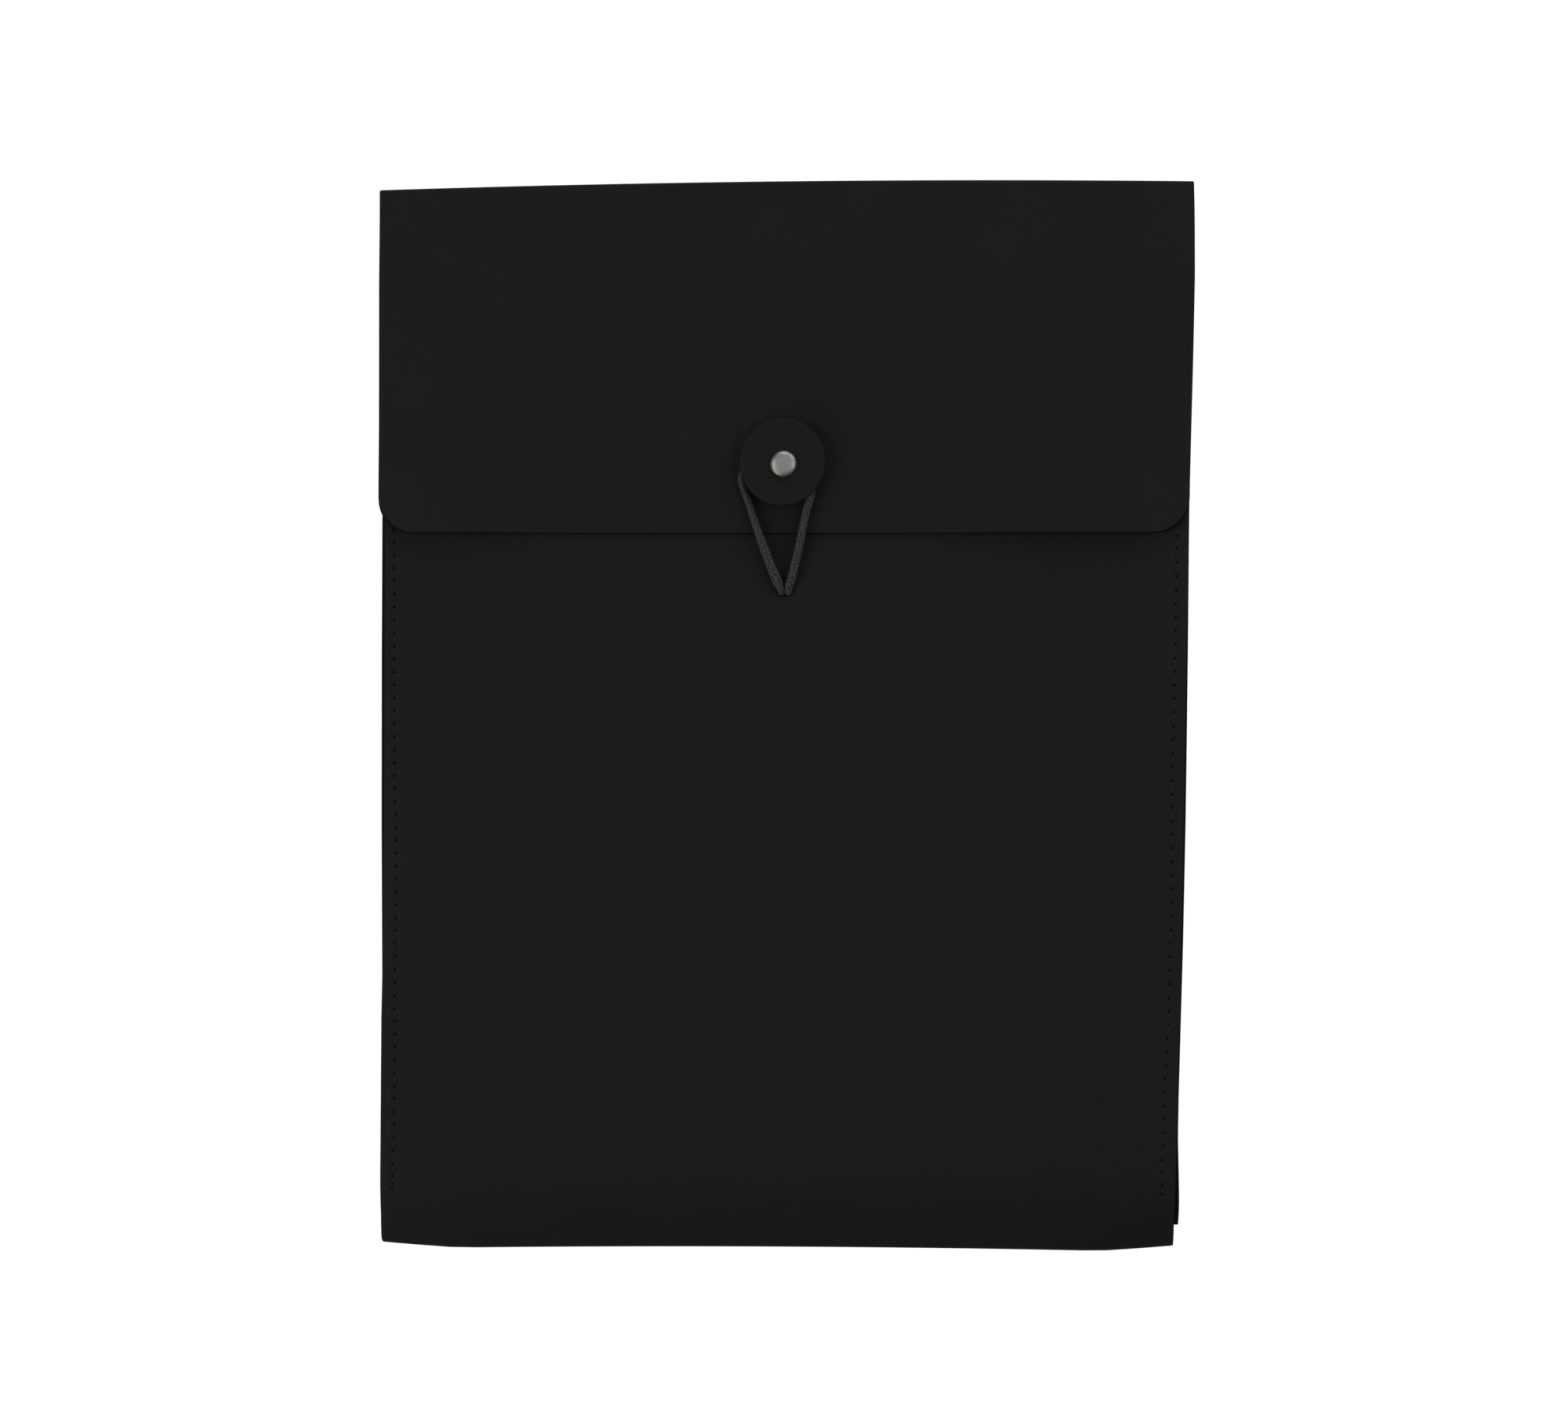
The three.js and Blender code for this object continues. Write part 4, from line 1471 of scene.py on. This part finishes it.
@dataclass
class Stitching:
    """The thread of one seam, seen on the sheet and on the gusset's flange behind it."""

    line: StitchLine
    on_front: bool
    pocket: Pocket
    sheet: PocketSheet
    workshop: Workshop
    width: float = 0.64
    height: float = 0.26
    dip: float = 0.9
    slant: float = 0.1
    inset: float = 0.26
    stray: float = 0.03
    groove_lift: float = 0.06
    back_groove_z: float = 0.32
    flange: float = 1.0
    steps: int = 10
    sides: int = 10

    def stitch(
        self, start: float, end: float, level: Callable[[Array], Array], up: int, bow: float
    ) -> MeshPlan:
        """One stitch from hole to hole.

        Args:
            start: Place of its lower hole.
            end: Place of its upper hole.
            level: Height of the face that it lies on, at places up the wallet.
            up: 1 where the face looks up, -1 where it looks down.
            bow: How far its middle strays sideways.

        Returns:
            The plan of the stitch.
        """
        share = (1 + np.sin(np.linspace(-1, 1, self.steps + 1) * math.pi / 2)) / 2
        y = start + (end - start) * share
        z = level(y) + up * (0.02 - self.dip * np.abs(2 * share - 1) ** 9)
        across = self.line.distance_in(y) + bow * np.sin(math.pi * share)
        across += self.slant * (1 - 2 * share) * ramp(0.5 - np.abs(share - 0.5), 0.0, 0.15)
        x = self.pocket.centre_x + self.line.side.value * across
        slope = np.gradient(z, y)
        lean = 1 / np.hypot(1, slope)
        angles = np.linspace(0, 2 * math.pi, self.sides, endpoint=False)
        wide = (np.cos(angles) * self.width / 2)[None, :]
        high = (np.sin(angles) * self.height / 2)[None, :]
        x, y, z = x[:, None], y[:, None], z[:, None]
        rings = [x + wide, y - high * (slope * lean)[:, None], z + high * lean[:, None]]
        index = np.arange((self.steps + 1) * self.sides).reshape(-1, self.sides).tolist()
        faces = [*skin(index), tuple(index[0]), tuple(index[-1])]
        return MeshPlan(np.stack(rings, axis=-1).reshape(-1, 3), faces)

    def outer_level(self, y: Array) -> Array:
        """Height of the groove that the outer stitches lie in.

        Args:
            y: Places up the wallet.

        Returns:
            The height at each place.
        """
        if not self.on_front:
            return np.full_like(y, self.back_groove_z)
        x = self.line.side.value * self.line.distance_in(y)
        plain = self.sheet.front_relief(x, y) + seams_sunk(FRONT_SEAMS, x, y)
        return self.pocket.front_height(y) + plain - self.line.groove_depth + self.groove_lift

    def inner_level(self, y: Array) -> Array:
        """Height of the flange's face that the inner stitches lie on, at places up the wallet."""
        p, f = self.pocket, self.flange
        return p.front_height(y, p.sheet) - f if self.on_front else np.full_like(y, p.sheet + f)

    def build(self) -> list[Piece]:
        """Makes the seam's thread and rides it on its panel.

        Returns:
            The dressed piece.
        """
        draws = np.random.default_rng(41 if self.line.side is Side.LEFT else 42)
        holes = self.line.holes_y
        up = 1 if self.on_front else -1
        plans = []
        for low, high in zip(holes, holes[1:]):
            bow = float(draws.normal(0, self.stray))
            ends = low + self.inset, high - self.inset
            plans.append(self.stitch(*ends, self.outer_level, up, bow))
            plans.append(self.stitch(*ends, self.inner_level, -up, -bow))
        where = "front" if self.on_front else "back"
        name = f"{self.line.side.name.lower()}_{where}"
        piece = plans[0].joined(plans[1:]).made(f"{name}_lockstitch", [self.workshop.thread])
        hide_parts(f"{name}_seam_thread")
        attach(piece, where)
        return [piece]


@dataclass
class ButtonAndRivet:
    """The round button on its post, held to the flap by a two-part rivet."""

    workshop: Workshop
    centre: Pair = (-0.56, 76.45)
    cap_centre: Pair = (-0.23, 75.85)
    oval: float = 1.02
    bore: float = 1.7
    spacer_z: float = 15.7
    spacer_height: float = 3.0
    spacer_radius: float = 4.5
    spacer_plies: int = 3
    disc_z: float = 18.9
    disc_thickness: float = 1.9
    disc_radius: float = 12.7
    disc_sides: int = 128
    cap_z: float = 21.0
    cap_height: float = 1.69
    cap_radius: float = 3.92
    shaft_radius: float = 1.5
    base_z: float = 13.2
    base_radius: float = 4.5
    base_thickness: float = 0.9

    def disc(self) -> Piece:
        """Makes the button: two discs of sheet glued back to back and cut round.

        Returns:
            The disc, crowned a little, with a glue line round its edge.
        """
        low, high, radius = self.disc_z, self.disc_z + self.disc_thickness, self.disc_radius
        middle = (low + high) / 2
        top = []
        for r in np.linspace(self.bore, radius - 0.55, 16):
            pressed = 0.16 * hump(r - self.bore, 3.4)
            top.append((float(r), high - float(pressed) - float(0.1 * (r / radius) ** 6)))
        soft = [(radius - 0.3, high - 0.13), (radius - 0.1, high - 0.3), (radius - 0.02, high - 0.5)]
        glue = [(radius, middle + 0.14), (radius - 0.16, middle), (radius, middle - 0.14)]
        lower = [(r, 2 * middle - z) for r, z in soft[::-1]]
        profile = [*top, *soft, *glue, *lower, (radius - 1.2, low), (self.bore, low)]
        plan = turned(profile, self.centre, self.disc_sides)
        plan.points[:, 1] = self.centre[1] + (plan.points[:, 1] - self.centre[1]) * self.oval
        edge = range(len(top), len(top) + len(soft) + len(glue) + len(lower) - 2)
        kinds = [Face.INNER if ring in edge else Face.OUTER for ring in range(len(profile))]
        plan.face_materials = [kind.value for kind in kinds for _ in range(self.disc_sides)]
        return plan.made("button_disc_two_ply", [self.workshop.face, self.workshop.edge])

    def spacer(self) -> Piece:
        """Makes the post: three small discs of sheet, squeezed by the rivet.

        Returns:
            The post, with a line between each two discs.
        """
        low, height, radius = self.spacer_z, self.spacer_height, self.spacer_radius
        profile = [(self.bore, low), (radius - 0.4, low)]
        step = height / self.spacer_plies
        for ply in range(self.spacer_plies):
            z = low + height * ply / self.spacer_plies
            for share, inset in ((0.06, 0.22), (0.2, 0.05), (0.5, 0.0), (0.8, 0.05), (0.94, 0.22)):
                profile.append((radius - inset, z + step * share))
        profile += [(radius - 0.4, low + height), (self.bore, low + height)]
        return turned(profile, self.centre, 64).made("button_post_stacked", [self.workshop.edge])

    def cap(self) -> Piece:
        """Makes the rivet's domed cap, with a small rolled rim.

        Returns:
            The cap.
        """
        z, radius = self.cap_z, self.cap_radius
        profile = [(0.0, z + 0.85), (1.2, z + 0.8), (1.55, z + 0.5), (1.55, z), (radius - 0.35, z)]
        profile += [(radius - 0.1, z + 0.06), (radius, z + 0.22), (radius - 0.06, z + 0.4)]
        for angle in np.linspace(0.12, math.pi / 2, 14)[:-1]:
            r = (radius - 0.12) * math.cos(angle) ** 0.66
            profile.append((r, z + 0.42 + (self.cap_height - 0.42) * math.sin(angle)))
        profile.append((0.0, z + self.cap_height))
        return turned(profile, self.cap_centre, 96).made("rivet_cap_domed", [self.workshop.nickel], 40)

    def post(self) -> Piece:
        """Makes the rivet's base plate and tubular shaft.

        Returns:
            The post.
        """
        z, plate, base = self.base_z, self.base_z + self.base_thickness, self.base_radius
        shaft, tip = self.shaft_radius, self.cap_z + 0.6
        profile = [(0.0, z + 0.35), (1.0, z + 0.33), (1.3, z + 0.08), (1.7, z), (base - 0.3, z)]
        profile += [(base - 0.05, z + 0.15), (base, z + 0.4), (base - 0.12, plate - 0.12)]
        profile += [(base - 0.4, plate), (shaft + 0.3, plate), (shaft, plate + 0.3)]
        profile += [(shaft, self.cap_z + 0.4), (shaft - 0.2, tip), (0.0, tip)]
        return turned(profile, self.centre, 64).made("rivet_post_tubular", [self.workshop.nickel], 40)

    def build(self) -> list[Piece]:
        """Makes the button and its rivet and rides them on the flap.

        Returns:
            The dressed pieces.
        """
        made = {
            "button_disc": (self.disc(), "button"),
            "button_spacer": (self.spacer(), "button"),
            "rivet_cap": (self.cap(), "rivet"),
            "rivet_post": (self.post(), "rivet"),
        }
        for node, (piece, slot) in made.items():
            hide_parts(node)
            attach(piece, "flap")
        return [piece for piece, _ in made.values()]


@dataclass
class ElasticClosure:
    """The braided elastic loop, hooked round the button's post, and its knot in the pocket.

    Each row of route is a place from the button, how far the elastic has climbed from low_z to
    high_z, and how full it is there.
    """

    workshop: Workshop
    button: Pair = (-0.4, 76.8)
    anchor: Pair = Pocket.anchor
    strand_gap: float = 2.1
    squeezed: float = 0.82
    radius: float = 1.3
    low_z: float = 14.5
    high_z: float = 17.0
    step: float = 0.13
    sides: int = 48
    strands: int = 6
    braid_pitch: float = 1.0
    braid_lean: float = 1.1
    braid_depth: float = 0.34
    knot_radius: float = 1.02
    knot_depth: float = 0.14
    route: Table = (
        (-2.03, -34.5, 0.2, 1.08), (-4.53, -28.42, 0.46, 0.99), (-7.23, -21.19, 0.7, 0.9),
        (-9.34, -14.67, 0.86, 0.83), (-11.15, -9.53, 0.97, 0.79), (-12.2, -6.6, 1.0, 0.76),
        (-12.45, -5.0, 1.0, 0.76), (-11.7, -3.0, 1.0, 0.8), (-10.2, -0.6, 1.0, 0.85),
        (-7.8, 2.6, 1.0, 0.9), (-4.3, 5.0, 1.0, 0.9), (-0.5, 6.0, 1.0, 0.9),
        (3.4, 5.4, 1.0, 0.9), (6.2, 3.4, 1.0, 0.9), (7.8, 0.3, 1.0, 0.95),
        (8.4, -3.3, 1.0, 0.97), (8.5, -7.0, 1.0, 0.97), (8.25, -9.6, 1.0, 0.97),
        (7.79, -11.9, 0.96, 0.95), (6.78, -15.59, 0.86, 0.9), (5.68, -21.26, 0.7, 0.86),
        (4.2, -28.46, 0.46, 0.9), (3.6, -31.02, 0.36, 0.94), (2.8, -34.5, 0.2, 0.96),
    )

    def path(self) -> Array:
        """The loop's middle line, from the hole up the left, round the post and back.

        Returns:
            Its points.
        """
        (bx, by), (ax, y), rise = self.button, self.anchor, self.high_z - self.low_z
        middle = [(bx + x, by + up, self.low_z + rise * climb) for x, up, climb, _ in self.route]
        left, right = ax - self.strand_gap / 2, ax + self.strand_gap / 2
        start = [(left, y, 11.6), (left, y, 12.6), (left - 0.12, y + 0.5, 13.5)]
        start.append((left - 0.6, y + 1.7, 14.3))
        end = [(right + 0.3, y + 1.9, 14.3), (right + 0.05, y + 0.6, 13.5)]
        end += [(right, y, 12.6), (right, y, 11.6)]
        return smooth_path([*start, *middle, *end], self.step)

    def fullness(self, path: Array) -> Array:
        """How full the elastic is: thin where it is taut or squeezed in its hole.

        Args:
            path: The points of its middle line.

        Returns:
            The share of its full radius at each point.
        """
        known = np.array([(self.button[0] + x, self.button[1] + y, full) for x, y, _, full in self.route])
        reach = np.linalg.norm(path[:, None, :2] - known[None, :, :2], axis=2)
        share = 1 / np.maximum(reach, 0.3) ** 3
        full = (share * known[:, 2]).sum(axis=1) / share.sum(axis=1)
        near_hole = np.linalg.norm(path[:, :2] - np.array(self.anchor), axis=1)
        return self.squeezed + (full - self.squeezed) * ramp(near_hole, 0.8, 3.5)

    def braid(self, count: int) -> Array:
        """The relief of the braided sleeve: yarns that lean one way and the other in turns.

        Args:
            count: Points along the path.

        Returns:
            The height from 0 to 1 at each point along and each place round.
        """
        along = np.arange(count)[:, None] * self.step / self.braid_pitch
        twist = 0.35 * np.sin(along / 9.0) + 0.02 * along + 0.12 * np.sin(along * 1.93 + 0.4)
        round_it = (np.arange(self.sides) / self.sides * self.strands)[None, :] + twist
        sector = np.floor(round_it)
        across = round_it - sector
        lean = np.where(sector % 2 == 0, 1.0, -1.0) * self.braid_lean
        uneven = 0.17 * np.sin(along * 2.71 + 1.9 * sector) + 0.12 * np.sin(along * 4.37 + 2.6 * sector)
        phase = along + lean * (across - 0.5) + 0.5 * (sector % 2) + uneven
        yarn = np.abs(np.sin(math.pi * phase)) ** 0.8
        return yarn * (0.55 + 0.45 * np.sin(math.pi * across) ** 0.6)

    def loop(self) -> Piece:
        """Makes the loop as one tube with the braid in its surface.

        Returns:
            The loop.
        """
        path = self.path()
        relief = self.braid(len(path))
        radii = (self.radius - self.braid_depth * (1 - relief) + 0.05) * self.fullness(path)[:, None]
        piece = tube(path, radii, relief).made("elastic_loop_braided", [self.workshop.elastic], 180)
        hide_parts("elastic_loop")
        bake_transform(piece)
        line = LIE.laid(path) * MM
        return piece

    def knot(self) -> Piece:
        """Makes the knot that keeps both ends of the loop inside the pocket.

        Returns:
            The knot, with both strands above it and two short tails below.
        """
        t = np.linspace(0.35, 2 * math.pi + 0.05, 150)
        x, y, z = centre = np.array([self.anchor[0], self.anchor[1] - 0.5, 9.4])
        across, up = 0.74 * (np.sin(t) + 2 * np.sin(2 * t)), 0.62 * (np.cos(t) - 2 * np.cos(2 * t))
        lines = [centre + np.stack([across, up, -1.0 * np.sin(3 * t)], axis=1)]
        for side in (-1.0, 1.0):
            strand = (x + side, y + 0.5, 12.2), (x + side * 1.05, y + 0.4, 11.0)
            lines.append(np.array([*strand, (x + side * 0.7, y, z + 0.6)]))
        tails = ((-1, 1.3, 1.6, 3.0, 0.9), (1, 1.2, 1.7, 2.9, 0.8))
        for side, bend, reach, drop, dip in tails:
            tail = (x + side * 0.6, y - 1.0, z), (x + side * bend, y - 2.1, z - 0.5)
            lines.append(np.array([*tail, (x + side * reach, y - drop, z - dip)]))
        plans = []
        for line in lines:
            fine = smooth_path(line[:: max(1, len(line) // 60)], 0.16)
            relief = self.braid(len(fine))[:, ::2]
            plans.append(tube(fine, self.knot_radius - self.knot_depth * (1 - relief), relief))
        piece = plans[0].joined(plans[1:]).made("loop_knot_tied", [self.workshop.elastic], 180)
        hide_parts("loop_knot")
        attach(piece, "front")
        return piece

    def build(self) -> list[Piece]:
        """Makes the loop and its knot, and returns both dressed."""
        return [self.loop(), self.knot()]


@dataclass(frozen=True)
class SoftBox:
    """A large round soft lamp, with its place in metres and its power in watts."""

    name: str
    place: Triple
    power: float
    size: float = 1.2

    def light(self, target: Triple) -> None:
        """Hangs the lamp and turns it to a point.

        Args:
            target: The point that it faces, in metres.
        """
        data = bpy.data.lights.new(self.name, "AREA")
        data.shape, data.size, data.energy = "DISK", self.size, self.power
        lamp = bpy.data.objects.new(self.name, data)
        lamp.location = self.place
        aim = Matrix.Translation(target).translation - lamp.location
        lamp.rotation_euler = aim.to_track_quat("-Z", "Y").to_euler()
        bpy.context.scene.collection.objects.link(lamp)


@dataclass
class Studio:
    """A white table with five soft lamps round it, seen from nearly straight above."""

    camera_place: Triple = (13.7272, 20.3551, 924.7946)
    camera_turn: Table = (
        (0.999871, -0.006615, 0.014665), (0.006354, 0.999822, 0.017772), (-0.01478, -0.017676, 0.999735),
    )
    lens: float = 70.0
    sensor: float = 36.0
    table_reach: float = 3.0
    table_z: float = -0.0002
    surround: float = 0.06
    ceiling: float = 0.4
    ceiling_edge: Pair = (0.72, 0.95)
    target: Triple = (0.0, 0.0, 0.01)
    lamps: tuple[SoftBox, ...] = (
        SoftBox("right", (1.414, 0.0, 1.414), 6.1),
        SoftBox("left", (-1.414, 0.0, 1.414), 7.4),
        SoftBox("low_left_front", (-1.311, -1.311, 0.749), 8.2),
        SoftBox("low_right_back", (1.311, 1.311, 0.749), 6.7),
        SoftBox("low_back", (0.0, 1.854, 0.749), 8.8),
    )

    def place_camera(self) -> None:
        """Puts the camera where the photo was taken from."""
        data = bpy.data.cameras.new("camera")
        data.lens, data.sensor_width = self.lens, self.sensor
        data.clip_start, data.clip_end = 0.01, 20.0
        camera = bpy.data.objects.new("camera", data)
        turn = Matrix(self.camera_turn).to_4x4()
        camera.matrix_world = Matrix.Translation([v * MM for v in self.camera_place]) @ turn
        bpy.context.scene.collection.objects.link(camera)
        bpy.context.scene.camera = camera

    def lay_table(self) -> None:
        """Makes the white table."""
        mesh = bpy.data.meshes.new("table")
        corners = ((-1, -1), (1, -1), (1, 1), (-1, 1))
        points = [(x * self.table_reach, y * self.table_reach, self.table_z) for x, y in corners]
        mesh.from_pydata(points, [], [(0, 1, 2, 3)])
        mesh.materials.append(WhiteLaminate().make())
        table = bpy.data.objects.new("table", mesh)
        bpy.context.scene.collection.objects.link(table)

    def light(self) -> None:
        """Hangs the lamps round the table, in a dim room with a pale ceiling."""
        world = bpy.data.worlds.new("surround")
        bpy.context.scene.world = world
        world.use_nodes = True
        tree = world.node_tree
        tree.nodes.clear()
        direction = add_node(tree, "TexCoord").outputs["Generated"]
        upward = add_node(tree, "SeparateXYZ", {"Vector": direction}).outputs["Z"]
        edge = {"From Min": self.ceiling_edge[0], "From Max": self.ceiling_edge[1]}
        levels = {"Value": upward, **edge, "To Min": self.surround, "To Max": self.ceiling}
        bright = add_node(tree, "MapRange", levels, interpolation_type="SMOOTHSTEP").outputs[0]
        shade = add_node(tree, "Background", {"Strength": bright, "Color": (1.0, 1.0, 1.0, 1.0)})
        add_node(tree, "OutputWorld", {"Surface": shade.outputs[0]})
        for lamp in self.lamps:
            lamp.light(self.target)
        bpy.context.scene.view_settings.view_transform = "Standard"


def main() -> None:
    """Builds the studio and every piece of the wallet, in order."""
    logging.basicConfig(level=logging.INFO, format="%(name)s: %(message)s")
    studio = Studio()
    studio.place_camera()
    shop, pocket = Workshop(), Pocket()
    sheet = PocketSheet(pocket, shop)
    parts = [
        ElasticClosure(shop),
        sheet,
        BackWithCrease(pocket, shop),
        FlapWithCrease(pocket, shop),
        *(Gusset(side, pocket, shop) for side in Side),
        *(Stitching(FRONT_SEAMS[side], True, pocket, sheet, shop) for side in Side),
        *(Stitching(BACK_SEAMS[side], False, pocket, sheet, shop) for side in Side),
        ButtonAndRivet(shop),
    ]
    for part in parts:
        for piece in part.build():
            LOG.info("%s: %d faces", piece.name, len(piece.data.polygons))
    studio.lay_table()
    studio.light()


if __name__ == "__main__":
    main()
